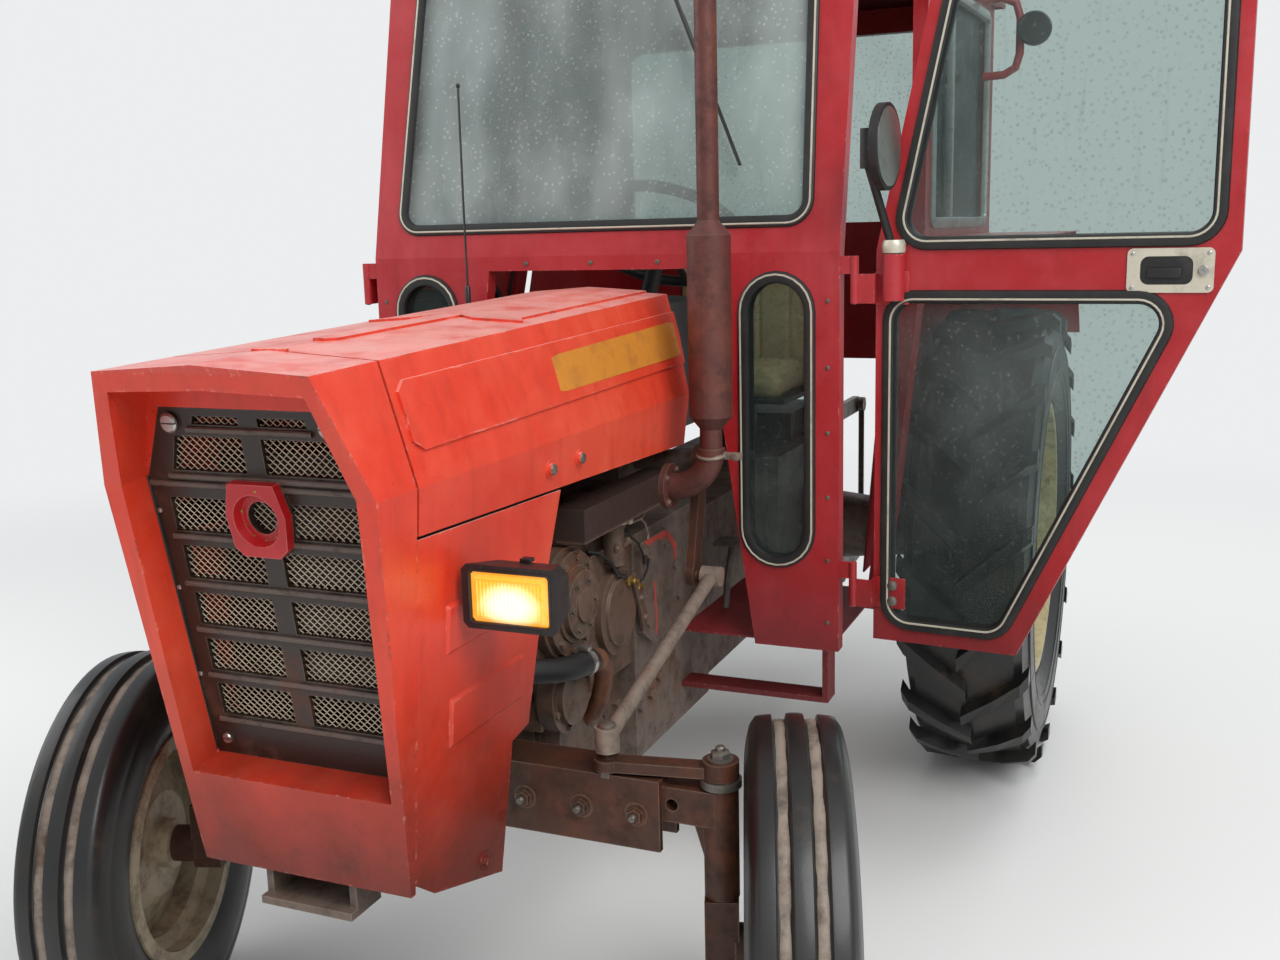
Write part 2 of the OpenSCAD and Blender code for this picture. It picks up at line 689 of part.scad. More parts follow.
function on_wheel(y, a, r) = [r * cos(a), y, r * sin(a)];
function lug_ring(row, start, side) =
    let (y = side * row[0] * rear_tyre_w / 2, a = start + row[1],
        top = rear_r - row[2], foot = rear_r - lug_h - row[3])
    [on_wheel(y, a - lug_foot_half, foot), on_wheel(y, a - lug_top_half, top),
     on_wheel(y, a + lug_top_half, top), on_wheel(y, a + lug_foot_half, foot)];

module lug(start, side) {
    rings = [for (row = lug_table) lug_ring(row, start, side)];
    skin(side < 0 ? rings : [for (i = [len(rings) - 1:-1:0]) rings[i]]);
}

module rear_tyre() {
    pitch = 360 / lug_count;
    tyre_body(rear_tyre_w - 4, rear_rim_d / 2, rear_r - lug_h);
    for (i = [0:lug_count - 1]) {
        lug(i * pitch, 1);
        lug((i + 0.5) * pitch, -1);
    }
}

// Section of a rim band and its disc; the disc is dished in toward the tractor
module revolved() {
    rotate([-90, 0, 0]) rotate_extrude($fn = 2 * fine) rotate([0, 0, 90]) mirror([0, 1]) children();
}

module rim(rim_d, w, disc_y, hub_r, hub_in, hub_out, bore) {
    seat = rim_d / 2;
    lip = 20;
    well = 22;
    half = w / 2;
    t = 6;
    union() {
        revolved() polygon([[-half - t, seat + lip], [-half, seat + lip], [-half, seat], [-half * 0.6, seat - 2],
            [-half * 0.35, seat - well], [half * 0.35, seat - well], [half * 0.6, seat - 2], [half, seat],
            [half, seat + lip], [half + t, seat + lip], [half + t, seat - t], [half * 0.62, seat - 2 - t],
            [half * 0.38, seat - well - t], [-half * 0.38, seat - well - t], [-half * 0.62, seat - 2 - t],
            [-half - t, seat - t]]);
        revolved() polygon([[disc_y, bore], [disc_y, seat * 0.5], [half * 0.3, seat - well - t - 14],
            [half * 0.3, seat - well - t + 1], [half * 0.3 - disc_t, seat - well - t + 1],
            [half * 0.3 - disc_t - 4, seat - well - t - 16], [disc_y - disc_t, seat * 0.5 - 4], [disc_y - disc_t, bore]]);
        revolved() polygon([[hub_in, bore], [hub_in, hub_r], [hub_out, hub_r], [hub_out, bore]]);
    }
}

module front_wheel_frame(side) {
    knuckle_frame(side) translate([0, wheel_offset, front_r]) children();
}

module rear_wheel_frame(side) {
    on_side(side) translate([-wheelbase, rear_y, rear_r]) children();
}

// Grooves of a front tyre; columns: distance of its edges from the middle as shares of the half width
groove_table = [[0.16, 0.46], [-0.46, -0.16]];
groove_depth = 12;

module front_tyre() difference() {
    tyre_body(front_tyre_w, front_rim_d / 2, front_r);
    for (row = groove_table) revolved() polygon([[row[0] * front_tyre_w / 2, front_r + 1],
        [row[0] * front_tyre_w / 2 + 2, front_r - groove_depth], [row[1] * front_tyre_w / 2 - 2, front_r - groove_depth],
        [row[1] * front_tyre_w / 2, front_r + 1]]);
}

module wheel_nuts(count, circle_r, y, nut_r, nut_h) {
    for (i = [0:count - 1]) rotate([0, i * 360 / count, 0]) translate([circle_r, y - 1, 0]) rotate([-90, 0, 0])
        cylinder(r = nut_r, h = nut_h + 1, $fn = 6);
}

module front_rim() {
    front_rim_shell();
    wheel_nuts(6, 76, -16, 11, 12);
    revolved() polygon([[front_hub_out - 0.5, 0], [front_hub_out - 0.5, 46], [front_hub_out + 8, 40],
        [front_hub_out + 20, 30], [front_hub_out + 26, 22], [front_hub_out + 28, 0]]);
}

module front_rim_shell() rim(front_rim_d, rim_width(front_tyre_w), -16, 46, -front_hub_in, front_hub_out, stub_r + run_play);
module rear_rim() {
    wheel_nuts(8, 138, -40, 15, 15);
    revolved() polygon([[-21, 0], [-21, 84], [-12, 80], [2, 62], [12, 40], [14, 0]]);
    rim(rear_rim_d, rim_width(rear_tyre_w - 4), -40, 110, axle_end_y + run_play - rear_y, -20, 0);
}

module tyre_front_left() placed() color("black") front_wheel_frame(1) front_tyre();
module tyre_front_right() placed() color("black") front_wheel_frame(-1) front_tyre();
module rim_front_left() placed() color("tan") front_wheel_frame(1) front_rim();
module rim_front_right() placed() color("tan") front_wheel_frame(-1) front_rim();
module tyre_rear_left() placed() color("black") rear_wheel_frame(1) rear_tyre();
module tyre_rear_right() placed() color("black") rear_wheel_frame(-1) rear_tyre();
module rim_rear_left() placed() color("khaki") rear_wheel_frame(1) rear_rim();
module rim_rear_right() placed() color("khaki") rear_wheel_frame(-1) rear_rim();

// Nose, grille, bonnet and side panels

rake = 9;
function top_edge(x) = brow_z + (brow_x - x) * bonnet_rise / (bonnet_l + brow_x - seam_x);
function low_edge(x) = bonnet_low_front + (seam_x - x) * (bonnet_low_rear - bonnet_low_front) / bonnet_l;
function body_hw(z) = z > ridge_z
    ? ridge_hw - (z - ridge_z) * (ridge_hw - brow_hw) / (brow_z - ridge_z)
    : nose_low_hw + (z - nose_low_z) * (ridge_hw - nose_low_hw) / (ridge_z - nose_low_z);
function face_x(z) = z > ridge_z
    ? ridge_x + (z - ridge_z) * (brow_x - ridge_x) / (brow_z - ridge_z)
    : nose_low_x + (z - nose_low_z) * (ridge_x - nose_low_x) / (ridge_z - nose_low_z);

// Section of nose and bonnet across the tractor, drawn in by a distance
function body_ring(x, low_z, d) =
    [[x, 0, top_edge(x) + crown - d], [x, -brow_hw + d, top_edge(x) - d], [x, -ridge_hw + d, ridge_z],
     [x, -body_hw(low_z) + d, low_z], [x, body_hw(low_z) - d, low_z], [x, ridge_hw - d, ridge_z],
     [x, brow_hw - d, top_edge(x) - d]];
function face_ring(d) =
    [[brow_x + 8 - d, 0, brow_z + crown - d], [brow_x - d, -brow_hw + d, brow_z - d], [ridge_x - d, -ridge_hw + d, ridge_z],
     [nose_low_x - d, -nose_low_hw + d, nose_low_z + d], [nose_low_x - d, nose_low_hw - d, nose_low_z + d],
     [ridge_x - d, ridge_hw - d, ridge_z], [brow_x - d, brow_hw - d, brow_z - d]];

grille_mid_hw = 191;
grille_low_hw = 173;
opening_lift = 47;
opening_top_hw = 158;
function grille_outline(d) =
    [[grille_low_hw - d, grille_low_z + d], [grille_mid_hw - d, ridge_z + 8], [grille_top_hw - d, grille_top_z - d],
     [-grille_top_hw + d, grille_top_z - d], [-grille_mid_hw + d, ridge_z + 8], [-grille_low_hw + d, grille_low_z + d]];

// Edge of the nose's mouth, which is higher than the grille that stands back in it
function mouth_outline(d) =
    [[grille_low_hw - d, grille_low_z + d], [grille_mid_hw + 2 - d, ridge_z + 8],
     [opening_top_hw - d, grille_top_z + opening_lift - 6 - d], [0, grille_top_z + opening_lift - d],
     [-opening_top_hw + d, grille_top_z + opening_lift - 6 - d], [-grille_mid_hw - 2 + d, ridge_z + 8],
     [-grille_low_hw + d, grille_low_z + d]];

module nose_cowl() placed() color("orangered") {
    reach = 120;
    difference() {
        union() {
            difference() {
                skin([body_ring(seam_x, nose_low_z, 0), face_ring(0)]);
                skin([body_ring(seam_x - 30, nose_low_z + sheet_t, sheet_t), face_ring(sheet_t)]);
            }
            intersection() {
                skin([body_ring(seam_x - reach, nose_low_z, 0), face_ring(0)]);
                grille_plane() across(reach, reach + sheet_t) polygon(mouth_outline(-sheet_t));
            }
        }
        grille_plane() across(reach, reach) polygon(mouth_outline(0));
        grille_plane() across(reach, 2 * reach) polygon(grille_outline(0));
    }
    bonnet_pin();
}

// The pin in the seam between nose and bonnet, and the leaf that carries it
hinge_pin_r = seam_gap / 2 - run_play;
bonnet_axis = [seam_x - seam_gap / 2, 0, top_edge(seam_x) + crown];

module bonnet_pin() {
    half = 30;
    translate([bonnet_axis[0], half, bonnet_axis[2]]) rotate([90, 0, 0]) cylinder(r = hinge_pin_r, h = 2 * half, $fn = fine);
    translate([bonnet_axis[0] - 1, -half, bonnet_axis[2] - 6]) cube([3.6, 2 * half, 6]);
    translate([bonnet_axis[0] - 1, -half, bonnet_axis[2] - 8]) cube([24, 2 * half, 5]);
}

// The grille's plate lies in a plane that leans back toward its foot
module grille_plane() {
    translate([face_x(ridge_z) - grille_inset, 0, ridge_z]) rotate([0, rake, 0]) translate([0, 0, -ridge_z]) children();
}

press_h = 4;
rib_h = 9;
rib_out = 5;

// A rounded rib across the grille at a height, of a half width and standing out of its plate
module grille_rib(z, half) {
    along(-half, half) polygon([[-1, z - rib_h / 2], [rib_out * 0.6, z - rib_h / 2], [rib_out, z - rib_h / 4],
        [rib_out, z + rib_h / 4], [rib_out * 0.6, z + rib_h / 2], [-1, z + rib_h / 2]]);
}

// Foot of each row of openings, from the lowest up, the last above the ridge
row_feet = concat([for (i = [0:grille_rows - 1]) grille_window_low + i * grille_pitch], [ridge_z + 17]);
bar_hw = 16;
function window_hw(z) = z > ridge_z ? 150 - (z - ridge_z) * 0.3 : 164 - (ridge_z - z) * 0.045;

module grille_window(z, h, hw) {
    for (side = [-1, 1]) on_side(side) across(1, grille_t + 2)
        polygon([[bar_hw, z], [hw, z], [hw - (z > ridge_z ? h * 0.3 : 0), z + h], [bar_hw, z + h]]);
}

module badge_ring() {
    outline = [[-44, 1082], [-30, 1069], [30, 1069], [44, 1082], [50, 1128], [38, 1175], [-38, 1175], [-50, 1128]];
    difference() {
        across(20, 21) polygon(outline);
        translate([-5, 0, 1122]) rotate([0, 90, 0]) cylinder(r1 = 30, r2 = 38, h = 26, $fn = fine);
    }
    difference() {
        translate([-grille_t, 0, 1122]) rotate([0, 90, 0]) cylinder(r = 42, h = grille_t + 6, $fn = fine);
        translate([-grille_t - 1, 0, 1122]) rotate([0, 90, 0]) cylinder(r = 24, h = grille_t + 20, $fn = fine);
    }
}

module grille() placed() color("black") grille_plane() {
    difference() {
        across(0, grille_t) polygon(grille_outline(pane_play));
        for (z = row_feet) grille_window(z, grille_window_h, window_hw(z));
        grille_window(grille_top_z - 24, 12, 96);
        translate([-grille_t - 1, 0, 1122]) rotate([0, 90, 0]) cylinder(r = 30, h = grille_t + 2, $fn = fine);
    }
    for (z = row_feet) grille_rib(z - 8, window_hw(z) + 6);
    grille_rib(ridge_z - 3, grille_mid_hw - 4);
    grille_rib(grille_top_z - 31, 104);
    badge_ring();
    for (side = [-1, 1]) {
        translate([-1, side * 131, grille_top_z - 22]) rotate([0, 90, 0]) cylinder(r = 15, h = 6, $fn = fine);
        translate([-1, side * 148, 756]) rotate([0, 90, 0]) cylinder(r = 9, h = 4, $fn = fine);
    }
}

// Fields pressed out of a side panel; columns: X and Z of the rear lower corner, X and Z of the front upper one
panel_fields = [[50, 760, 276, 840], [10, 906, 287, 985]];

module side_panels() placed() color("orangered") both_sides() {
    lean = atan2(ridge_hw - nose_low_hw, ridge_z - nose_low_z);
    foot_z = low_edge(200);
    translate([0, body_hw(foot_z), foot_z]) rotate([-lean, 0, 0]) translate([0, 0, -foot_z]) {
        along(-sheet_t, 0) polygon([[seam_x - run_play, 588], [seam_x - run_play, low_edge(seam_x) - seam_gap],
            [-74, low_edge(-74) - seam_gap], [-19, 909], [22, 707], [77, 697], [103, 482], [310, 550]]);
        for (f = panel_fields) pressed_field(f);
        translate([162, -1, 530]) rotate([-90, 0, 0]) cylinder(r = 15, h = 3, $fn = fine);
        translate([162, -1, 530]) rotate([-90, 0, 0]) cylinder(r = 9, h = 10, $fn = 6);
    }
}

module pressed_field(f) {
    bevel = 7;
    skin([for (k = [0, 1]) [for (c = [[1, 0], [0, 0], [0, 1], [1, 1]])
        [f[2 * c[0]] + (c[0] > 0 ? -k : k) * bevel, k > 0 ? press_h : -sheet_t / 2,
         f[1 + 2 * c[1]] + (c[1] > 0 ? -k : k) * bevel]]]);
}

lamp_x = 264;
lamp_y = 300;
lamp_z = 994;
lamp_frame = 13;
lens_depth = 12;
bezel_t = 4;

// A rectangle across the tractor with cut corners, as a ring for a skin
function lamp_ring(x, hw, hh, cut) =
    [[x, -hw + cut, hh], [x, -hw, hh - cut], [x, -hw, -hh + cut], [x, -hw + cut, -hh],
     [x, hw - cut, -hh], [x, hw, -hh + cut], [x, hw, hh - cut], [x, hw - cut, hh]];

// A lamp's housing; columns: place behind its rim as a share of its length, half width and half height as
// shares of the rim's, cut of the corners
lamp_table = [[-1, 0.55, 0.5, 6], [-0.86, 0.84, 0.82, 14], [-0.3, 0.95, 0.93, 10], [0, 1, 1, 8]];

module lamps() placed() color("black") both_sides() translate([lamp_x, lamp_y, lamp_z]) {
    hw = lens_w / 2 + lamp_frame;
    hh = lens_h / 2 + lamp_frame - 3;
    difference() {
        skin([for (row = lamp_table) lamp_ring(row[0] * lamp_l, row[1] * hw, row[2] * hh, row[3])]);
        skin([lamp_ring(-lens_depth, lens_w / 2, lens_h / 2, 5), lamp_ring(1, lens_w / 2, lens_h / 2, 5)]);
    }
    translate([-lamp_l - 16, -12, -12]) cube([24, 24, 24]);
    translate([-lamp_l - 14, body_hw(lamp_z + 8) + run_play - lamp_y, -8])
        cube([12, lamp_y - body_hw(lamp_z + 8), 16]);
}

module lamp_lenses() placed() color("orange") both_sides() translate([lamp_x, lamp_y, lamp_z]) {
    hw = lens_w / 2 - run_play;
    hh = lens_h / 2 - run_play;
    skin([lamp_ring(-lens_depth + run_play, hw, hh, 5), lamp_ring(-bezel_t, hw, hh, 5),
        lamp_ring(0, hw - 8, hh - 7, 8)]);
}

// A shell of the bonnet between two distances outside its outer face
module bonnet_shell(inner, outer) difference() {
    skin([body_ring(seam_x - bonnet_l, bonnet_low_rear, -outer), body_ring(seam_x - seam_gap, low_edge(seam_x), -outer)]);
    skin([body_ring(seam_x - bonnet_l - 20, bonnet_low_rear - 20, -inner),
        body_ring(seam_x + 20, low_edge(seam_x) - 20, -inner)]);
}

// Fields pressed out of the bonnet's upper sides, drawn in X and Z, and out of its top, drawn in X and Y
side_field = [[seam_x - bonnet_l - 10, 1228], [320, 1212], [342, 1226], [342, 1292], [324, 1306], [seam_x - bonnet_l - 10, 1330]];
top_field = [[-96, 150], [-130, 128], [seam_x - bonnet_l - 10, 128], [seam_x - bonnet_l - 10, -128], [-130, -128], [-96, -150],
    [-86, -60], [-110, -26], [230, -22], [250, -10], [250, 10], [230, 22], [-110, 26], [-86, 60]];

module bonnet() placed() color("orangered") {
    rear_lean = 35;
    difference() {
        union() {
            bonnet_shell(-sheet_t, 0);
            intersection() {
                bonnet_shell(-sheet_t / 2, press_h);
                union() {
                    along(-ridge_hw - 20, ridge_hw + 20) polygon(side_field);
                    translate([0, 0, brow_z]) linear_extrude(100) polygon(top_field);
                }
            }
        }
        along(-400, 400) polygon([[seam_x - bonnet_l - 1, ridge_z + 120], [seam_x - bonnet_l + rear_lean, bonnet_low_rear - 10],
            [seam_x - bonnet_l - 1, bonnet_low_rear - 10]]);
    }
    for (side = [-1, 1], x = [-30, -139]) on_side(side) translate([x, body_hw(1122) - 1, 1122]) rotate([-90, 0, 0]) {
        cylinder(r = 14, h = 3, $fn = fine);
        cylinder(r = 10, h = 9, $fn = fine);
    }
}

// Cab

screen_lean = atan(screen_slope);
function screen_x(z) = cab_x - (z - belt_z) * screen_slope;

// The front wall seen from its side, upright to the belt line and leaning back above it
front_profile = [[cab_x, cab_low_z], [cab_x, belt_z], [screen_x(roof_z), roof_z],
    [screen_x(roof_z) - wall_t / cos(screen_lean), roof_z],
    [cab_x - wall_t, belt_z - wall_t * tan(screen_lean / 2)], [cab_x - wall_t, cab_low_z]];
tunnel_outline = [[tunnel_low_hw, cab_low_z], [tunnel_top_hw, tunnel_top_z], [-tunnel_top_hw, tunnel_top_z],
    [-tunnel_low_hw, cab_low_z], [-tunnel_low_hw, cab_low_z - 10], [tunnel_low_hw, cab_low_z - 10]];

function slot_outline(d) =
    let (r = slot_w / 2 - d)
    concat([for (a = [0:20:180]) [r * cos(a), slot_top_z - slot_w / 2 + r * sin(a)]],
        [for (a = [180:20:360]) [r * cos(a), slot_low_z + slot_w / 2 + r * sin(a)]]);

// The windscreen's plane: heights are measured along it from the belt line
screen_h = (roof_z - belt_z) / cos(screen_lean);
function screen_outline(d) =
    rounded([[466 - d, 56 + d], [450 - d, screen_h - 46 - d], [-450 + d, screen_h - 46 - d], [-466 + d, 56 + d]], 46 - d, 4);

module screen_plane() {
    translate([cab_x, 0, belt_z]) rotate([0, -screen_lean, 0]) children();
}

module cab_front() placed() color("crimson") {
    difference() {
        along(-cab_hw, cab_hw) polygon(front_profile);
        across(cab_x + 1, wall_t + 2) polygon(tunnel_outline);
        for (y = [-slot_y, slot_y]) translate([0, y, 0]) across(cab_x + 1, wall_t + 2) polygon(slot_outline(0));
        screen_plane() across(1, wall_t + 2) polygon(screen_outline(0));
    }
    for (side = [-1, 1], z = hinge_heights) cab_side(side) translate([hinge_back, hinge_y, z + hinge_h + run_play]) {
        cylinder(r = hinge_r, h = 34, $fn = fine);
        translate([-3, 0, 0]) cube([6, hinge_out + 6, 34]);
    }
}

// Slanted rear edge of a door, in the cab side's frame
door_rear = door_front + door_w;
door_foot = door_front + door_foot_w;
function slant_u(z) = door_foot + (z - door_low_z) * (door_rear - door_foot) / (door_knee_z - door_low_z);
function pillar_u(z) = z > belt_z ? (z - belt_z) * screen_slope : 0;

jamb_w = 62;
jamb_gap = 8;

function quarter_outline() =
    [[door_rear + jamb_gap + 58, shelf_z + 34], [cab_l - 60, shelf_z + 34], [cab_l - 60, roof_z - 44],
     [door_rear + jamb_gap + 58, roof_z - 44]];

module cab_sides() placed() color("crimson") for (side = [-1, 1]) cab_side(side) side_plate(0, side_t) difference() {
    polygon([[slant_u(cab_low_z) + jamb_gap, cab_low_z], [slant_u(cab_low_z) + jamb_gap + jamb_w, cab_low_z],
        [slant_u(shelf_z) + jamb_gap + jamb_w, shelf_z], [cab_l, shelf_z], [cab_l, roof_z],
        [door_rear + jamb_gap, roof_z], [door_rear + jamb_gap, door_knee_z]]);
    polygon(rounded(quarter_outline(), 20, 3));
}

rear_x = cab_x - cab_l * cos(cab_flare) - side_t * sin(cab_flare) - run_play;
rear_hw = cab_hw + cab_l * sin(cab_flare);
rear_low_z = 1090;

function rear_window(d) =
    rounded([[rear_hw - 75 - d, shelf_z + 40 + d], [rear_hw - 75 - d, roof_z - 55 - d],
        [-rear_hw + 75 + d, roof_z - 55 - d], [-rear_hw + 75 + d, shelf_z + 40 + d]], 46 - d, 4);

module cab_rear() placed() color("crimson") across(rear_x, wall_t) difference() {
    polygon([[rear_hw, shelf_z + run_play], [rear_hw, roof_z], [-rear_hw, roof_z], [-rear_hw, shelf_z + run_play],
        [-housing_y + plate_t + run_play, shelf_z + run_play], [-housing_y + plate_t + run_play, rear_low_z],
        [housing_y - plate_t - run_play, rear_low_z], [housing_y - plate_t - run_play, shelf_z + run_play]]);
    polygon(rear_window(0));
}

roof_front = screen_x(roof_z) + 55;
roof_rear = rear_x - wall_t - 45;
roof_side = 26;
function roof_ring(z, d) =
    [[roof_front - d, -cab_hw - roof_side + d, z], [roof_rear + d, -rear_hw - roof_side + d, z],
     [roof_rear + d, rear_hw + roof_side - d, z], [roof_front - d, cab_hw + roof_side - d, z]];

module cab_roof() placed() color("crimson") {
    difference() {
        skin([roof_ring(roof_z + roof_h, 240), roof_ring(roof_z + roof_h - 14, 90), roof_ring(roof_z + roof_h - 50, 12),
            roof_ring(roof_z + 0.3, 0)]);
        skin([roof_ring(roof_z + roof_h - 8, 246), roof_ring(roof_z + roof_h - 22, 98), roof_ring(roof_z + roof_h - 56, 20),
            roof_ring(roof_z + 8, 8)]);
        skin([roof_ring(roof_z + 20, 110), roof_ring(roof_z - 10, 110)]);
    }
}

module cab_floor() placed() color("crimson") both_sides() {
    floor_y = clutch_hw + 12;
    translate([cab_x - wall_t - 440, floor_y, cab_low_z]) cube([440, cab_hw - 20 - floor_y, plate_t]);
    translate([cab_x - 130, clutch_hw + run_play, 500]) cube([60, cab_hw - clutch_hw - 40, 12]);
    translate([cab_x - 130, cab_hw - 52, 500]) cube([60, 12, cab_low_z - 500 + 1]);
}

module fenders() placed() color("crimson") both_sides() {
    front_x = cab_x - slant_u(shelf_z) - jamb_gap;
    shelf_x = front_x - jamb_w - 2;
    tail_x = rear_x - wall_t - 20;
    // The shelf over the wheel and the slope behind it
    along(housing_y, shelf_y) polygon([[shelf_x, shelf_z - plate_t], [shelf_x, shelf_z - run_play], [tail_x, shelf_z - run_play],
        [tail_x - 280, shelf_z - 310], [tail_x - 280 + plate_t, shelf_z - 314], [tail_x + 2, shelf_z - plate_t]]);
    // The wall between wheel and cab
    along(housing_y - plate_t, housing_y) polygon([[cab_x - slant_u(cab_low_z + 60) - jamb_gap - jamb_w, cab_low_z + 60],
        [front_x, shelf_z - run_play], [tail_x, shelf_z - run_play], [tail_x - 280, shelf_z - 310],
        [tail_x - 200, shelf_z - 460], [-wheelbase - 40, 830], [-wheelbase - 40, rear_r + axle_end_r + 14 + run_play],
        [-wheelbase + 40, rear_r + axle_end_r + 14 + run_play], [-wheelbase + 40, 830], [cab_x - 560, 700]]);
}

module fixed_glass() placed() color("lightcyan") {
    inner = (wall_t - glass_t) / 2;
    for (y = [-slot_y, slot_y]) translate([0, y, 0]) across(cab_x - inner, glass_t) polygon(slot_outline(pane_play));
    screen_plane() across(-inner, glass_t) polygon(screen_outline(pane_play));
    across(rear_x - inner, glass_t) polygon(rear_window(pane_play));
    for (side = [-1, 1]) cab_side(side) side_plate((side_t - glass_t) / 2, glass_t)
        polygon(rounded(inset(quarter_outline(), pane_play), 20 - pane_play, 3));
}

wheel_centre = [-1093, 0, 1478];
column_tilt = 35;
column_up = [-sin(column_tilt), 0, cos(column_tilt)];

dash_x = seam_x - bonnet_l - 14;
dash_low = 1090;
dash_l = 246;
dash_end = dash_x - dash_l;
function dash_ring(x) =
    [[x, 0, 1352], [x, -165, 1345], [x, -205, ridge_z], [x, -195, dash_low], [x, 195, dash_low], [x, 205, ridge_z],
     [x, 165, 1345]];

module controls() placed() color("dimgray") {
    skin([dash_ring(dash_end), dash_ring(dash_x)]);
    rod(wheel_centre - 430 * column_up, wheel_centre - 12 * column_up, 19);
}

module steering_wheel() placed() color("black") translate(wheel_centre) rotate([0, -column_tilt, 0]) {
    rotate_extrude($fn = fine) translate([steering_wheel_d / 2 - 13, 0]) circle(r = 13, $fn = 16);
    translate([0, 0, -11.7]) cylinder(r = 30, h = 24, $fn = fine);
    for (a = [60, 180, 300]) rotate([0, 0, a]) translate([0, -7, -5]) cube([steering_wheel_d / 2 - 13, 14, 9]);
}

seat_x = -1568;

seat_z = 1060;
pan_t = 12;

module seat() placed() color("dimgray") {
    translate([seat_x - 60, -60, housing_top + run_play]) cube([140, 120, seat_z - pan_t + 1 - housing_top]);
    translate([seat_x - 200, -215, seat_z - pan_t]) cube([400, 430, pan_t]);
    translate([seat_x - 212, -215, seat_z - pan_t]) cube([pan_t, 430, 390]);
}

module seat_cushion() placed() color("khaki") {
    translate([seat_x - 200 + run_play, -220, seat_z + run_play]) cube([400, 440, 80]);
    translate([seat_x - 200 + run_play, -220, seat_z + run_play]) cube([70, 440, 390]);
}

// Rear linkage and drawbar

link_front = [-wheelbase - 70, 0, 470];
lift_arm_t = 18;
lift_arm_y = centre_hw + 6.7;
rod_y = lift_arm_y + lift_arm_t + run_play + 10;
link_y = rod_y + 10 + run_play + 8;
link_rise = 4;
rod_reach = 343;

module link_pivot_bracket() {
    translate([link_front[0] - 40, centre_hw - 20, link_front[2] - 40]) cube([80, 20, 60]);
    translate([link_front[0], centre_hw - 5, link_front[2]]) rotate([-90, 0, 0]) cylinder(r = 14, h = link_y + 18 - centre_hw, $fn = fine);
}

module link_frame() {
    translate([link_front[0], link_y, link_front[2]]) rotate([0, link_rise, 0]) children();
}

module lower_links() placed() color("dimgray") both_sides() link_frame() difference() {
    union() {
        translate([-lower_link_l, -8, -26]) cube([lower_link_l, 16, 52]);
        for (x = [0, -lower_link_l]) translate([x, -13, 0]) rotate([-90, 0, 0]) cylinder(r = 36, h = 26, $fn = fine);
    }
    translate([0, -40, 0]) rotate([-90, 0, 0]) cylinder(r = 14 + run_play, h = 80, $fn = fine);
    translate([-lower_link_l, -40, 0]) rotate([-90, 0, 0]) cylinder(r = link_bore_r, h = 80, $fn = fine);
}

lift_shaft = [-wheelbase - 130, 0, 930];

module lift_arms() placed() color("dimgray") both_sides() translate(lift_shaft) {
    translate([0, lift_cover_hw + run_play, 0]) rotate([-90, 0, 0])
        cylinder(r = 34, h = lift_arm_y + lift_arm_t + 8 - lift_cover_hw, $fn = fine);
    translate([-lift_arm_l, lift_arm_y, -24]) cube([lift_arm_l, lift_arm_t, 48]);
    translate([-lift_arm_l, lift_arm_y, 0]) rotate([-90, 0, 0]) cylinder(r = 24, h = lift_arm_t, $fn = fine);
}

// Where a lift rod is pinned to its lower link
rod_foot = [link_front[0] - rod_reach * cos(link_rise), rod_y, link_front[2] + rod_reach * sin(link_rise)];
rod_head = [lift_shaft[0] - lift_arm_l, rod_y, lift_shaft[2]];

module lift_rods() placed() color("dimgray") both_sides() {
    rod(rod_foot, rod_head, 9);
    for (p = [rod_foot, rod_head]) translate([p[0], p[1] - 10, p[2]]) rotate([-90, 0, 0]) cylinder(r = 22, h = 20, $fn = fine);
}

hanger_w = 70;
drawbar_tail = 45;

module drawbar() placed() color("dimgray") difference() {
    hanger_x = gearbox_rear - 120;
    union() {
        translate([origin[0] - drawbar_tail, -drawbar_w / 2, drawbar_z - drawbar_t])
            cube([hanger_x + hanger_w - origin[0] + drawbar_tail, drawbar_w, drawbar_t]);
        for (x = [centre_rear + 20, hanger_x])
            translate([x, -drawbar_w / 2, drawbar_z - 1]) cube([hanger_w, drawbar_w, housing_low - drawbar_z + 1 - run_play]);
    }
    translate([origin[0], 0, drawbar_z - drawbar_t - 10]) cylinder(r = pin_r, h = drawbar_t + 20, $fn = fine);
}

module pto_shaft() placed() color("silver")
    translate([centre_rear, 0, pto_z]) rotate([0, -90, 0]) cylinder(r = pto_r, h = 84, $fn = fine);

module top_link_bracket() difference() {
    for (y = [-40, 24]) translate([centre_rear - 70, y, 780]) cube([70.1, 16, 70]);
    translate([centre_rear - 40, -60, 815]) rotate([-90, 0, 0]) cylinder(r = top_bore_r, h = 120, $fn = fine);
}

// Doors: drawn closed in the cab side's frame, then swung about their hinge axis

hinge_y = -hinge_out - 2;
door_outline = [[door_front, door_low_z], [door_foot, door_low_z], [door_rear, door_knee_z], [door_rear, roof_z - 8],
    [door_front + pillar_u(roof_z - 8), roof_z - 8], [door_front, belt_z]];
sill_low = 1352;
sill_high = 1460;
function upper_window() = [[door_front + door_frame + pillar_u(sill_high), sill_high], [door_rear - door_frame, sill_high],
    [door_rear - door_frame, roof_z - 48], [door_front + door_frame + pillar_u(roof_z - 48), roof_z - 48]];
function lower_window() = [[door_front + 30, door_low_z + 42], [slant_u(door_low_z + 42) - 54, door_low_z + 42],
    [slant_u(sill_low) - 54, sill_low], [door_front + 30, sill_low]];

module door_swing(side, angle) {
    on_side(side) translate([cab_x, cab_hw, 0]) rotate([0, 0, 180 - cab_flare])
        translate([hinge_back, hinge_y, 0]) rotate([0, 0, -angle]) translate([-hinge_back, -hinge_y, 0]) children();
}

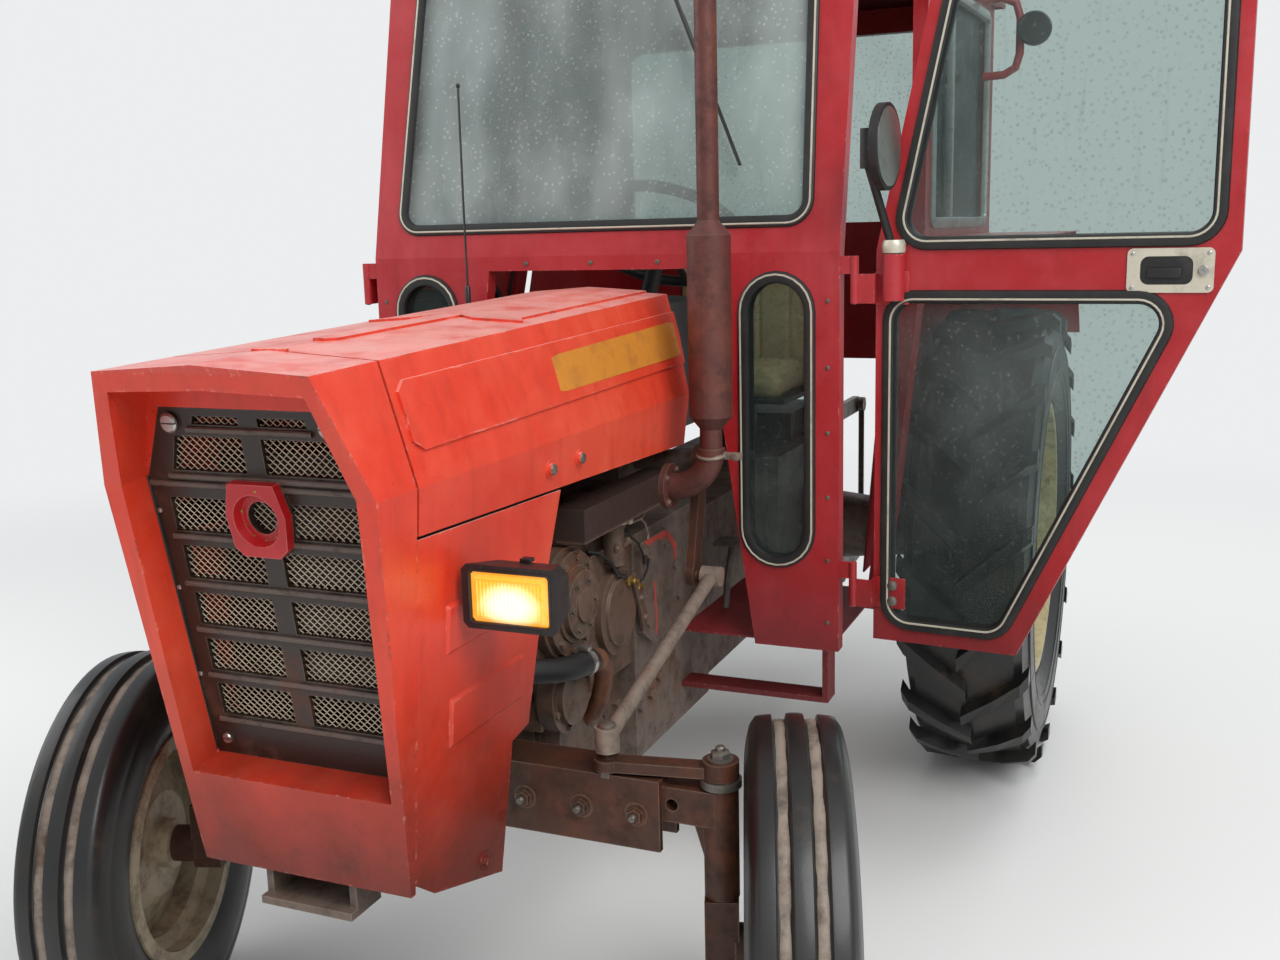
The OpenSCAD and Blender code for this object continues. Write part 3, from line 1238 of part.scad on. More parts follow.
module door(side, angle) placed() color("crimson") door_swing(side, angle) {
    difference() {
        side_plate(-2, door_t) polygon(door_outline);
        side_plate(-3, door_t + 2) polygon(rounded(upper_window(), 44));
        side_plate(-3, door_t + 2) polygon(rounded(lower_window(), 44));
    }
    for (z = hinge_heights) {
        translate([hinge_back, hinge_y, z]) cylinder(r = hinge_r, h = hinge_h, $fn = fine);
        translate([hinge_back, hinge_y - 3, z]) cube([door_front + 6 - hinge_back, 6, hinge_h]);
        translate([door_front, hinge_y - 3, z]) cube([6, hinge_out + 6, hinge_h]);
    }
}

hinge_heights = [740, 1345];
hinge_h = 56;

module door_glass(side, angle) placed() color("lightcyan") door_swing(side, angle)
    side_plate(-2 + (door_t - glass_t) / 2, glass_t) {
        polygon(rounded(inset(upper_window(), pane_play), 44 - pane_play));
        polygon(rounded(inset(lower_window(), pane_play), 44 - pane_play));
    }

module door_left() door(1, door_open);
module door_left_glass() door_glass(1, door_open);
module door_right() door(-1, 0);
module door_right_glass() door_glass(-1, 0);

module side_mirror() placed() color("black") door_swing(1, door_open) {
    u = 80;
    y = -2 - 20;
    head = [u - 6, y - 70, 1632];
    arm_top = [u - 38, y - 46, 1606];
    translate([u, y, 1352]) cylinder(r = 19.7, h = 100, $fn = fine);
    rod([u, y, 1440], arm_top, 8);
    translate([arm_top[0], arm_top[1], 1596]) cylinder(r = 14, h = 72, $fn = fine);
    rod([arm_top[0], arm_top[1], head[2]], head + [4, 0, 0], 10);
    translate(head) rotate([0, 90, 0]) cylinder(r = mirror_d / 2, h = 16, $fn = fine);
}

engine();
exhaust();
radiator();
transmission();
rear_axle();
front_support();
axle_beam();
nose_cowl();
grille();
side_panels();
lamps();
lamp_lenses();
cab_front();
cab_sides();
cab_rear();
cab_roof();
cab_floor();
fenders();
fixed_glass();
controls();
seat();
drawbar();
pto_shaft();
seat_cushion();
bonnet();
door_left();
door_left_glass();
side_mirror();
door_right();
door_right_glass();
knuckle_left();
knuckle_right();
drop_arm_left();
drop_arm_right();
drag_link_left();
drag_link_right();
steering_wheel();
lower_links();
lift_arms();
lift_rods();
tyre_front_left();
rim_front_left();
tyre_front_right();
rim_front_right();
tyre_rear_left();
rim_rear_left();
tyre_rear_right();
rim_rear_right();
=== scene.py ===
"""Looks of a small farm tractor with a steel cab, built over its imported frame."""

from __future__ import annotations

import logging
import math
import random
from dataclasses import dataclass
from enum import Enum
from typing import Iterable, Sequence, Union

import bmesh
import bpy
from mathutils import Matrix, Vector


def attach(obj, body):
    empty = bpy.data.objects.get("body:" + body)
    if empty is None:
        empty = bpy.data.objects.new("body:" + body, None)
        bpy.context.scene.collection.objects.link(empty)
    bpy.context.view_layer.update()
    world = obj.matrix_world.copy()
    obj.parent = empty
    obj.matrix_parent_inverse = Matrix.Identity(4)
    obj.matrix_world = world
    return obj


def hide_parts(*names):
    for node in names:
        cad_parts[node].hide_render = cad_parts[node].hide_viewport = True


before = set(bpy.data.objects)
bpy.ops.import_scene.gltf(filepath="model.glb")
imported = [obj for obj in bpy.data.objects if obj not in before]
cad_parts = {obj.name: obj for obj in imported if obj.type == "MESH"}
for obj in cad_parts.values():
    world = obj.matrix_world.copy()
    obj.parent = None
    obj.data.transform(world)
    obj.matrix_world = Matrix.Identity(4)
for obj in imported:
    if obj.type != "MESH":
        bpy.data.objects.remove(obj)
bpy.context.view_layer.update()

log = logging.getLogger("tractor")

Point = Sequence[float]
Outline = list[tuple[float, float]]
Finish = bpy.types.Material

# The tractor's own measures: millimetres, X forward from the steering pivots, Y left, Z up.
MM = 0.001
WHEELBASE = 1868.0
PIN_BACK = 608.0
DRAWBAR_Z = 410.0
TRACTOR = Matrix.Scale(MM, 4) @ Matrix.Translation((WHEELBASE + PIN_BACK, 0.0, -DRAWBAR_Z))
CAB_X = -688.0
CAB_HW = 528.0
FLARE = math.radians(2.8)
BELT_Z = 1445.0
ROOF_Z = 2092.0
WALL_T = 35.0
SCREEN_SLOPE = 0.2165
SCREEN_LEAN = math.atan(SCREEN_SLOPE)
SCREEN_H = (ROOF_Z - BELT_Z) / math.cos(SCREEN_LEAN)
HINGE = (5.0, -28.0, 0.0)
DOOR_OPEN = math.radians(92.0)
DOOR_T = 28.0
STEER = math.radians(18.0)
PIVOT_Y = 515.0
WHEEL_OFFSET = 118.0
FRONT_R = 367.5
FRONT_W = 165.0
FRONT_RIM_R = 203.0
REAR_Y = 682.0
REAR_R = 630.0
REAR_W = 315.0
REAR_RIM_R = 355.5

AHEAD, BACK = (1, 0, 0), (-1, 0, 0)
LEFT, RIGHT = (0, 1, 0), (0, -1, 0)
UP, DOWN = (0, 0, 1), (0, 0, -1)


class Side(Enum):
    """Side of the tractor, with the sign of its Y."""

    LEFT = 1
    RIGHT = -1

    @property
    def word(self) -> str:
        """Name used in pieces and nodes."""
        return self.name.lower()


def mirrored(side: Side) -> Matrix:
    """Matrix that leaves the left side as it is and mirrors the right one."""
    return Matrix.Scale(-1, 4, (0, 1, 0)) if side is Side.RIGHT else Matrix.Identity(4)


def cab_side_place(side: Side) -> Matrix:
    """Frame of a cab side: X back along it from its front corner, Y inward, Z up."""
    turn = Matrix.Rotation(math.pi - FLARE, 4, "Z")
    return TRACTOR @ mirrored(side) @ Matrix.Translation((CAB_X, CAB_HW, 0)) @ turn


def door_place(side: Side) -> Matrix:
    """Frame of a door as it stands in the photograph: the left one open, the right one closed."""
    angle = DOOR_OPEN if side is Side.LEFT else 0.0
    hinge = Matrix.Translation(HINGE)
    return cab_side_place(side) @ hinge @ Matrix.Rotation(-angle, 4, "Z") @ hinge.inverted()


def screen_place() -> Matrix:
    """Frame of the leaning windscreen: Y across, Z up along the glass from the belt line."""
    return TRACTOR @ Matrix.Translation((CAB_X, 0, BELT_Z)) @ Matrix.Rotation(-SCREEN_LEAN, 4, "Y")


def front_wheel_place(side: Side) -> Matrix:
    """Frame of a front wheel: origin at its centre, Y outward along its axle."""
    pivot = Matrix.Translation((0, side.value * PIVOT_Y, 0)) @ Matrix.Rotation(STEER, 4, "Z")
    return TRACTOR @ pivot @ mirrored(side) @ Matrix.Translation((0, WHEEL_OFFSET, FRONT_R))


def rear_wheel_place(side: Side) -> Matrix:
    """Frame of a rear wheel: origin at its centre, Y outward along its axle."""
    return TRACTOR @ mirrored(side) @ Matrix.Translation((-WHEELBASE, REAR_Y, REAR_R))


def rounded(outline: Sequence[Point], radius: float, steps: int = 6) -> Outline:
    """Rounds an outline's corners with arcs.

    Args:
        outline: Corners in order.
        radius: Radius of the arcs.
        steps: Number of parts in each arc.

    Returns:
        The points of the rounded outline.
    """
    points: Outline = []
    count = len(outline)
    for i in range(count):
        before, corner, after = (Vector(outline[(i + k) % count]) for k in (-1, 0, 1))
        u, v = (before - corner).normalized(), (after - corner).normalized()
        half = math.acos(max(-1.0, min(1.0, u.dot(v)))) / 2
        middle = corner + (u + v).normalized() * radius / math.sin(half)
        first = corner + u * radius / math.tan(half) - middle
        last = corner + v * radius / math.tan(half) - middle
        turn = math.atan2(first.x * last.y - first.y * last.x, first.dot(last))
        for k in range(steps + 1):
            a = turn * k / steps
            points.append((middle.x + first.x * math.cos(a) - first.y * math.sin(a),
                           middle.y + first.x * math.sin(a) + first.y * math.cos(a)))
    return points


def arc(radius: float, turns: Iterable[float]) -> Outline:
    """Points at a radius from the origin, at angles in radians."""
    return [(radius * math.cos(a), radius * math.sin(a)) for a in turns]


def circle(radius: float, sides: int, start: float = 0.0) -> Outline:
    """Points of a circle about the origin; start shifts them by a share of a step."""
    return arc(radius, [math.tau * (i + start) / sides for i in range(sides)])


def half_circle(radius: float, sides: int) -> Outline:
    """Points of half a circle about the origin, both ends included."""
    return arc(radius, [math.pi * i / sides for i in range(sides + 1)])


def across_axis(axis: Vector) -> tuple[Vector, Vector]:
    """Two directions square to an axis and to each other."""
    other = Vector((0, 0, 1)) if abs(axis.z) < 0.9 else Vector((1, 0, 0))
    u = axis.cross(other).normalized()
    return u, axis.cross(u).normalized()


class Solid:
    """Mesh under construction, drawn in millimetres in a place's own frame."""

    def __init__(self, place: Matrix = TRACTOR) -> None:
        """Starts an empty mesh.

        Args:
            place: Matrix from the drawing's millimetres to the frame's metres.
        """
        self.mesh = bmesh.new()
        self.place = place

    def rings(self, rows: Sequence[Sequence[Point]], loop: bool = False, capped: bool = True) -> "Solid":
        """Skins a row of closed rings.

        Args:
            rows: Rings with the same number of points.
            loop: Whether the last ring joins the first.
            capped: Whether the two ends get a face.

        Returns:
            This solid.
        """
        made = [[self.mesh.verts.new(self.place @ Vector(p)) for p in row] for row in rows]
        count = len(made[0])
        for k in range(len(made) if loop else len(made) - 1):
            a, b = made[k], made[(k + 1) % len(made)]
            for i in range(count):
                j = (i + 1) % count
                self.mesh.faces.new((a[i], a[j], b[j], b[i]))
        if capped and not loop:
            self.mesh.faces.new(made[0][::-1])
            self.mesh.faces.new(made[-1])
        return self

    def lathe(self, centre: Point, axis: Point, profile: Sequence[Point], sides: int = 32) -> "Solid":
        """Turns a profile of (radius, height) pairs about an axis.

        Args:
            centre: Point on the axis from which heights count.
            axis: Direction of the axis.
            profile: Radii and heights in order; a radius of nearly nothing closes an end.
            sides: Number of sides round the axis.

        Returns:
            This solid.
        """
        line = Vector(axis).normalized()
        u, v = across_axis(line)
        rows = []
        for r, h in profile:
            middle = Vector(centre) + line * h
            rows.append([middle + u * a + v * b for a, b in circle(max(r, 0.02), sides)])
        return self.rings(rows)

    def sweep(self, path: Sequence[Point], section: Sequence[Point], loop: bool = False,
              up: Point | None = None) -> "Solid":
        """Carries a section along a path.

        Args:
            path: Points of the path.
            section: Points as (sideways, along up).
            loop: Whether the path is closed.
            up: Fixed direction of the section's second axis, or None to let it follow the path.

        Returns:
            This solid.
        """
        points = [Vector(p) for p in path]
        count = len(points)
        rows = []
        lift: Vector | None = Vector(up).normalized() if up is not None else None
        for i, p in enumerate(points):
            after = points[(i + 1) % count] if loop or i < count - 1 else p
            before = points[i - 1] if loop or i > 0 else p
            ahead = (after - before).normalized()
            if lift is None:
                lift = across_axis(ahead)[0]
            if up is None:
                lift = (lift - ahead * lift.dot(ahead)).normalized()
            aside = ahead.cross(lift).normalized()
            rows.append([p + aside * s + lift * t for s, t in section])
        return self.rings(rows, loop=loop)

    def tube(self, path: Sequence[Point], radius: float, sides: int = 10, loop: bool = False) -> "Solid":
        """Draws a round tube along a path."""
        return self.sweep(path, circle(radius, sides), loop)

    def block(self, low: Point, high: Point, edge: float = 1.5) -> "Solid":
        """Draws a box with bevelled edges.

        Args:
            low: Lowest corner.
            high: Highest corner.
            edge: Width of the bevel in millimetres.

        Returns:
            This solid.
        """
        xs, ys = (low[0], high[0]), (low[1], high[1])
        ring = [(0, 0), (1, 0), (1, 1), (0, 1)]
        before = set(self.mesh.edges)
        self.rings([[(xs[i], ys[j], z) for i, j in ring] for z in (low[2], high[2])])
        fresh = [e for e in self.mesh.edges if e not in before]
        if edge > 0:
            bmesh.ops.bevel(self.mesh, geom=fresh, offset=edge * MM, segments=2, affect="EDGES", profile=0.6)
        return self

    def collar(self, centre: Point, axis: Point, inner: float, outer: float, high: float, sides: int = 28) -> "Solid":
        """Draws a square-edged ring, or a disc when its inner radius is 0."""
        return self.lathe(centre, axis, [(inner, 0), (outer, 0), (outer, high), (inner, high)], sides)

    def bolt(self, point: Point, axis: Point, size: float = 8.0) -> "Solid":
        """Draws a hexagon head on its washer; size is the head's radius."""
        self.collar(point, axis, 0, size * 1.3, size * 0.2, 20)
        return self.lathe(point, axis, [(0, size * 0.15), (size, size * 0.15), (size, size * 0.75),
                                        (size * 0.84, size * 0.95), (0, size * 0.97)], 6)

    def screw(self, point: Point, axis: Point, size: float = 5.0) -> "Solid":
        """Draws a low round screw head; size is its radius."""
        return self.lathe(point, axis, [(0, 0), (size, 0), (size * 0.93, size * 0.35), (size * 0.5, size * 0.55),
                                        (0, size * 0.6)], 16)

    def make(self, name: str, slot: str, finish: Finish, body: str = "root", angle: float = 38.0) -> bpy.types.Object:
        """Turns the drawing into a piece that rides on a body.

        Args:
            name: Name of the piece.
            slot: Name of the record's material slot; not used.
            finish: Its material.
            body: CAD body that it rides on.
            angle: Angle in degrees above which an edge is sharp.

        Returns:
            The new object.
        """
        bmesh.ops.remove_doubles(self.mesh, verts=self.mesh.verts, dist=0.00003)
        bmesh.ops.recalc_face_normals(self.mesh, faces=self.mesh.faces)
        data = bpy.data.meshes.new(name)
        self.mesh.to_mesh(data)
        self.mesh.free()
        data.materials.append(finish)
        data.shade_smooth()
        data.set_sharp_from_angle(angle=math.radians(angle))
        piece = bpy.data.objects.new(name, data)
        bpy.context.scene.collection.objects.link(piece)
        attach(piece, body)
        log.info("%s: %d faces on %s", name, len(data.polygons), body)
        return piece


# Shader maths

Value = Union["Wire", float, int]
SKY = (0.86, 0.9, 0.95)
BACKDROP = (0.84, 0.85, 0.86)


class Wire:
    """Output of a shader node with arithmetic: an expression adds its Math nodes."""

    def __init__(self, shader: "Shader", socket: bpy.types.NodeSocket) -> None:
        """Wraps a socket of a shader's tree."""
        self.shader = shader
        self.socket = socket

    def _math(self, operation: str, *values: Value, clamp: bool = False) -> "Wire":
        """Adds a Math node with this wire and other values as its inputs."""
        return self.shader.out("ShaderNodeMath", dict(enumerate(values)), operation=operation, use_clamp=clamp)

    def __add__(self, other: Value) -> "Wire":
        """Sum."""
        return self._math("ADD", self, other)

    def __radd__(self, other: Value) -> "Wire":
        """Sum with a number on the left."""
        return self._math("ADD", other, self)

    def __sub__(self, other: Value) -> "Wire":
        """Difference."""
        return self._math("SUBTRACT", self, other)

    def __rsub__(self, other: Value) -> "Wire":
        """Difference from a number on the left."""
        return self._math("SUBTRACT", other, self)

    def __mul__(self, other: Value) -> "Wire":
        """Product."""
        return self._math("MULTIPLY", self, other)

    def __rmul__(self, other: Value) -> "Wire":
        """Product with a number on the left."""
        return self._math("MULTIPLY", other, self)

    def __gt__(self, other: Value) -> "Wire":
        """One where this wire is greater."""
        return self._math("GREATER_THAN", self, other)

    def __lt__(self, other: Value) -> "Wire":
        """One where this wire is smaller."""
        return self._math("LESS_THAN", self, other)

    def most(self, other: Value) -> "Wire":
        """Greater of two values."""
        return self._math("MAXIMUM", self, other)

    def sine(self) -> "Wire":
        """Sine."""
        return self._math("SINE", self)

    def absolute(self) -> "Wire":
        """Value without its sign."""
        return self._math("ABSOLUTE", self)

    def clamped(self) -> "Wire":
        """Value held between 0 and 1."""
        return self._math("ADD", self, 0.0, clamp=True)

    def step(self, low: float, high: float) -> "Wire":
        """Smooth rise from 0 at low to 1 at high."""
        return self.shader.out("ShaderNodeMapRange", {"Value": self, "From Min": low, "From Max": high},
                               interpolation_type="SMOOTHSTEP")


Colour = tuple[float, float, float]
ColourValue = Union[Wire, Colour, str]


def linear(code: str) -> Colour:
    """Linear colour of a six-digit hexadecimal one."""
    parts = [int(code[i:i + 2], 16) / 255 for i in (0, 2, 4)]
    red, green, blue = (c / 12.92 if c <= 0.04045 else ((c + 0.055) / 1.055) ** 2.4 for c in parts)
    return red, green, blue


class Shader:
    """A node tree of a material or of the world."""

    def __init__(self, name: str, library: bpy.types.bpy_prop_collection | None = None) -> None:
        """Starts a material, or another holder of nodes from the library given, with an empty tree."""
        self.material = (bpy.data.materials if library is None else library).new(name)
        self.material.use_nodes = True
        self.tree = self.material.node_tree
        self.tree.nodes.clear()
        self.place = self.out("ShaderNodeTexCoord", name="Object")

    def node(self, kind: str, inputs: dict | None = None, **settings: object) -> bpy.types.Node:
        """Adds a node.

        Args:
            kind: The node's type.
            inputs: Values or wires by socket name or number.
            settings: Settings made before the inputs, such as a Math node's operation.

        Returns:
            The node.
        """
        node = self.tree.nodes.new(kind)
        for key, value in settings.items():
            setattr(node, key, value)
        for key, value in (inputs or {}).items():
            socket = node.inputs[key]
            if isinstance(value, Wire):
                self.tree.links.new(value.socket, socket)
            elif socket.type == "RGBA" and len(value) == 3:
                socket.default_value = (*value, 1.0)
            else:
                socket.default_value = value
        return node

    def out(self, kind: str, inputs: dict | None = None, name: str | int = 0, **settings: object) -> Wire:
        """Adds a node and gives one of its outputs as a wire."""
        return Wire(self, self.node(kind, inputs, **settings).outputs[name])

    def noise(self, scale: float, detail: float = 4.0, rough: float = 0.55, seed: float = 0.0,
              stretch: Point = (1, 1, 1)) -> Wire:
        """Noise in the tractor's own space, about 0.5 on average."""
        moved = {"Vector": self.place, "Scale": stretch, "Location": (seed, seed * 1.7, seed * 0.6)}
        place = self.out("ShaderNodeMapping", moved)
        return self.out("ShaderNodeTexNoise", {"Vector": place, "Scale": scale, "Detail": detail, "Roughness": rough})

    def mix(self, factor: Value, a: ColourValue, b: ColourValue) -> Wire:
        """Mixes two colours, which may be six-digit hexadecimal codes."""
        a, b = (linear(c) if isinstance(c, str) else c for c in (a, b))
        return self.out("ShaderNodeMix", {0: factor, 6: a, 7: b}, 2, data_type="RGBA")

    def along(self, axis: str, vector: Wire | None = None) -> Wire:
        """One coordinate of a vector, or of the place in metres."""
        return self.out("ShaderNodeSeparateXYZ", {0: self.place if vector is None else vector}, axis)

    def height(self) -> Wire:
        """Height above the ground in metres."""
        return self.along("Z") + DRAWBAR_Z * MM

    def face(self) -> Wire:
        """Direction of the face itself, without smoothing."""
        return self.out("ShaderNodeNewGeometry", name="True Normal")

    def edges(self, radius: float = 0.006, low: float = 0.02, high: float = 0.12) -> Wire:
        """Mask that is 1 at sharp outer edges, from a rounded normal."""
        soft = self.out("ShaderNodeBevel", {"Radius": radius}, samples=4)
        return (1 - self.dot(soft, self.face())).step(low, high)

    def seen_plainly(self) -> Wire:
        """Mask that is 1 for what the camera sees, also through glass."""
        seen = self.out("ShaderNodeLightPath", name="Is Camera Ray")
        return seen.most(self.out("ShaderNodeLightPath", name="Is Transmission Ray"))

    def dot(self, a: ColourValue, b: ColourValue) -> Wire:
        """Dot product of two vectors."""
        return self.out("ShaderNodeVectorMath", {0: a, 1: b}, "Value", operation="DOT_PRODUCT")

    def drops(self, scale: float) -> Wire:
        """Distance from the middles of scattered drops."""
        return self.out("ShaderNodeTexVoronoi", {"Vector": self.place, "Scale": scale, "Randomness": 1.0},
                        "Distance", feature="F1")

    def bump(self, height: Wire, strength: float = 0.3, distance: float = 0.002) -> Wire:
        """Normal from a height."""
        return self.out("ShaderNodeBump", {"Height": height, "Strength": strength, "Distance": distance})

    def surface(self, **sockets: object) -> Wire:
        """Surface shader with the sockets named, with underscores for spaces."""
        return self.out("ShaderNodeBsdfPrincipled", {key.replace("_", " "): value for key, value in sockets.items()})

    def blend(self, factor: Value, a: Wire, b: Wire) -> Wire:
        """Mixes two shaders."""
        return self.out("ShaderNodeMixShader", {0: factor, 1: a, 2: b})

    def end(self, shader: Wire, kind: str = "Material") -> Finish:
        """Joins a shader to the tree's output and gives what holds the tree."""
        self.node(f"ShaderNodeOutput{kind}", {"Surface": shader})
        return self.material

    def finish(self, **sockets: object) -> Finish:
        """Ends the material with a surface shader of the sockets named."""
        return self.end(self.surface(**sockets))


@dataclass(frozen=True)
class OldPaint:
    """Weathered and wet paint on sheet steel, darker towards the foot with dirt and painted shade, and pale on upward
    faces with sun fade and a painted highlight.
    """

    name: str
    base: str
    faded: str
    dark: str
    chip: str = "3a2a22"
    dirt: str = "4a3a2c"
    worn: str = "d98a80"
    bleach: float = 0.25
    fade: float = 0.5
    wear: float = 0.5
    low: float = 0.4
    high: float = 0.9
    muddy: float = 0.75
    rough: float = 0.36
    seed: float = 0.0

    def build(self) -> Finish:
        """Makes the material."""
        s = Shader(self.name)
        broad = s.noise(2.2, 3, seed=self.seed).step(0.62 - self.fade * 0.4, 0.75)
        mottle = s.noise(14, 6, 0.65, seed=self.seed + 3).step(0.35, 0.72)
        streak = s.noise(5, 5, 0.6, self.seed + 5, (7, 7, 0.7)).step(0.45, 0.8)
        colour = s.mix(broad * 0.55 + mottle * 0.25, self.base, self.faded)
        colour = s.mix(streak * 0.35, colour, self.dark)
        grime = s.noise(30, 8, 0.7, seed=self.seed + 9).step(0.5, 0.72)
        # Darker towards the foot: partly dirt and wet, partly painted shade on the low parts.
        foot = 1 - (s.height() + s.noise(9, 5) * 0.25).step(self.low, self.high)
        colour = s.mix((foot * self.muddy + grime * 0.12).clamped(), colour, self.dirt)
        # Upward faces above about a metre turn pale pink: partly sun fade, partly a painted highlight.
        bleach_and_highlight_mask = s.along("Z", s.face()).step(0.6, 0.95) * s.noise(12, 5, 0.6, self.seed + 7).step(0.15, 0.6)
        bleach_and_highlight_mask = bleach_and_highlight_mask * s.height().step(0.95, 1.1)
        colour = s.mix(bleach_and_highlight_mask * self.bleach, colour, "f0b9b0")
        crease = s.edges(0.006, 0.02, 0.1) * s.noise(16, 7, 0.75, self.seed + 11, (1, 6, 3)).step(0.54, 0.62)
        colour = s.mix(crease * 0.5, colour, self.worn)
        edge = s.edges() * s.noise(26, 6, 0.7, seed=self.seed + 12).step(0.66 - self.wear * 0.2, 0.7)
        spots = s.noise(46, 4, 0.8, seed=self.seed + 15).step(0.74 - self.wear * 0.05, 0.76)
        chips = edge.most(spots * self.wear).clamped()
        colour = s.mix(chips, colour, self.chip)
        bead = (1 - s.drops(140.0)).step(0.66, 0.9) * s.noise(60, 2, seed=2).step(0.52, 0.6)
        relief = s.noise(90, 3, 0.5) * 0.25 + bead * 0.8 - chips * 0.8
        roughness = (self.rough + mottle * 0.16 + foot * 0.25 + chips * 0.3 - bead * 0.2).clamped()
        return s.finish(Base_Color=colour, Roughness=roughness, Normal=s.bump(relief, 0.22, 0.0012), Coat_Weight=0.12,
                        Coat_Roughness=0.25)


@dataclass(frozen=True)
class CastMetal:
    """Rough cast or forged metal with rust, oil and dirt."""

    name: str
    base: str
    rust: str
    dirt: str
    rusty: float = 0.5
    metal: float = 0.2
    rough: float = 0.55
    grain: float = 120.0
    seed: float = 0.0
    soot: float = 9.0

    def build(self) -> Finish:
        """Makes the material, lighter along sharp edges as a painted highlight and darker above a height in metres with
        soot and painted shade.
        """
        s = Shader(self.name)
        patches = s.noise(9, 7, 0.7, self.seed).step(0.62 - self.rusty * 0.25, 0.72)
        colour = s.mix(patches, self.base, self.rust)
        grime = s.noise(22, 6, 0.7, self.seed + 4).step(0.42, 0.7)
        colour = s.mix(grime * 0.6, colour, self.dirt)
        # Lighter along sharp edges: a painted highlight.
        edge = s.edges(0.004, 0.02, 0.15) * s.noise(30, 3)
        colour = s.mix(edge * 0.45, colour, "b9a892")
        # Darker above the height given: soot, and painted shade where the bonnet covers the engine.
        colour = s.mix(s.height().step(self.soot, self.soot + 0.01) * 0.85, colour, "2c1d17")
        relief = s.noise(self.grain, 5, 0.6, self.seed) + patches * 0.4
        return s.finish(Base_Color=colour, Roughness=(self.rough + grime * 0.2 - edge * 0.1).clamped(),
                        Metallic=self.metal, Normal=s.bump(relief, 0.3, 0.0012), Coat_Weight=0.1, Coat_Roughness=0.25)


@dataclass(frozen=True)
class TyreRubber:
    """Wet black rubber with blotches of dried mud."""

    name: str
    mud: str = "4b3b2a"
    muddy: float = 0.4
    seed: float = 0.0

    def build(self) -> Finish:
        """Makes the material."""
        s = Shader(self.name)
        blotch = s.noise(8, 7, 0.72, self.seed).step(0.6 - self.muddy * 0.15, 0.72)
        film = s.noise(3, 3, seed=self.seed + 2).step(0.35, 0.75)
        colour = s.mix(film * 0.5, "141414", "26241f")
        colour = s.mix(blotch * (0.35 + self.muddy * 0.5), colour, self.mud)
        relief = s.noise(160, 4, 0.6) * 0.6 + blotch * 0.5
        return s.finish(Base_Color=colour, Roughness=(0.38 + blotch * 0.35 + film * 0.12).clamped(),
                        Normal=s.bump(relief, 0.3, 0.0015), Coat_Weight=0.2, Coat_Roughness=0.2)


@dataclass(frozen=True)
class WindowGlass:
    """Thin clear pane with rain drops and runs, fogged where it is the windscreen."""

    name: str = "rainy_glass"
    tint: str = "dfe9e6"
    screen_x: float = 1.55
    screen_foot: float = 1.42
    screen_half: float = 0.5

    def build(self) -> Finish:
        """Makes the material."""
        s = Shader(self.name)
        bead = (1 - s.drops(75.0)).step(0.7, 0.86)
        runs = s.noise(16, 3, 0.5, 4, (4, 4, 0.5)).step(0.6, 0.7)
        film = s.noise(3, 4).step(0.4, 0.8)
        screen = (s.along("X") > self.screen_x) * (s.height() > self.screen_foot)
        screen = screen * (self.screen_half > s.along("Y").absolute())
        fog = screen * (0.55 + s.noise(2.4, 3, seed=9, stretch=(1, 1.6, 0.6)).step(0.35, 0.7) * 0.45)
        normal = s.bump(bead + runs * 0.3, 0.35, 0.0015)
        clear = s.out("ShaderNodeBsdfTransparent", {"Color": linear(self.tint)})
        gloss = s.surface(Base_Color=s.mix((film * 0.5 + fog).clamped(), "56605e", "b9c4c0"),
                          Roughness=(0.06 + film * 0.12 + fog * 0.1).clamped(), Normal=normal)
        weight = s.out("ShaderNodeFresnel", {"IOR": 1.5, "Normal": normal})
        amount = (weight * 0.9 + 0.1 + bead * 0.18 + film * 0.08 + runs * 0.05 + fog * 0.36).clamped()
        return s.end(s.blend(amount, clear, gloss))


@dataclass(frozen=True)
class PlainFinish:
    """Smooth manufactured surface with fine wear: rubber trim, plastic, bright metal."""

    name: str
    base: str
    worn: str
    metal: float = 0.0
    rough: float = 0.45
    grain: float = 60.0
    bumpy: float = 0.12

    def build(self) -> Finish:
        """Makes the material."""
        s = Shader(self.name)
        wear = s.noise(self.grain * 0.3, 6, 0.7).step(0.45, 0.72)
        colour = s.mix(wear * 0.7, self.base, self.worn)
        return s.finish(Base_Color=colour, Roughness=(self.rough + wear * 0.18).clamped(), Metallic=self.metal,
                        Normal=s.bump(s.noise(self.grain * 3, 4), self.bumpy, 0.001))


@dataclass(frozen=True)
class LensGlass:
    """Lit amber lens of a lamp, brightest at the foot of its middle."""

    name: str = "amber_lens"
    y: float = 0.300
    z: float = 0.574

    def build(self) -> Finish:
        """Makes the material."""
        s = Shader(self.name)
        across = s.along("Y").absolute() - self.y
        up = s.along("Z") - self.z
        away = (across * across * 0.45 + up * up) * 1000.0
        glow = 1 - away.step(0.0, 1.35)
        swirl = s.noise(60, 2) * 0.25
        colour = s.mix((glow + swirl - 0.1).clamped(), "f2a02a", "fff3c0")
        return s.finish(Base_Color=colour, Roughness=0.15, Emission_Color=colour, Emission_Strength=0.85,
                        Coat_Weight=0.5, Coat_Roughness=0.08, Normal=s.bump(s.noise(120, 2), 0.1, 0.001))


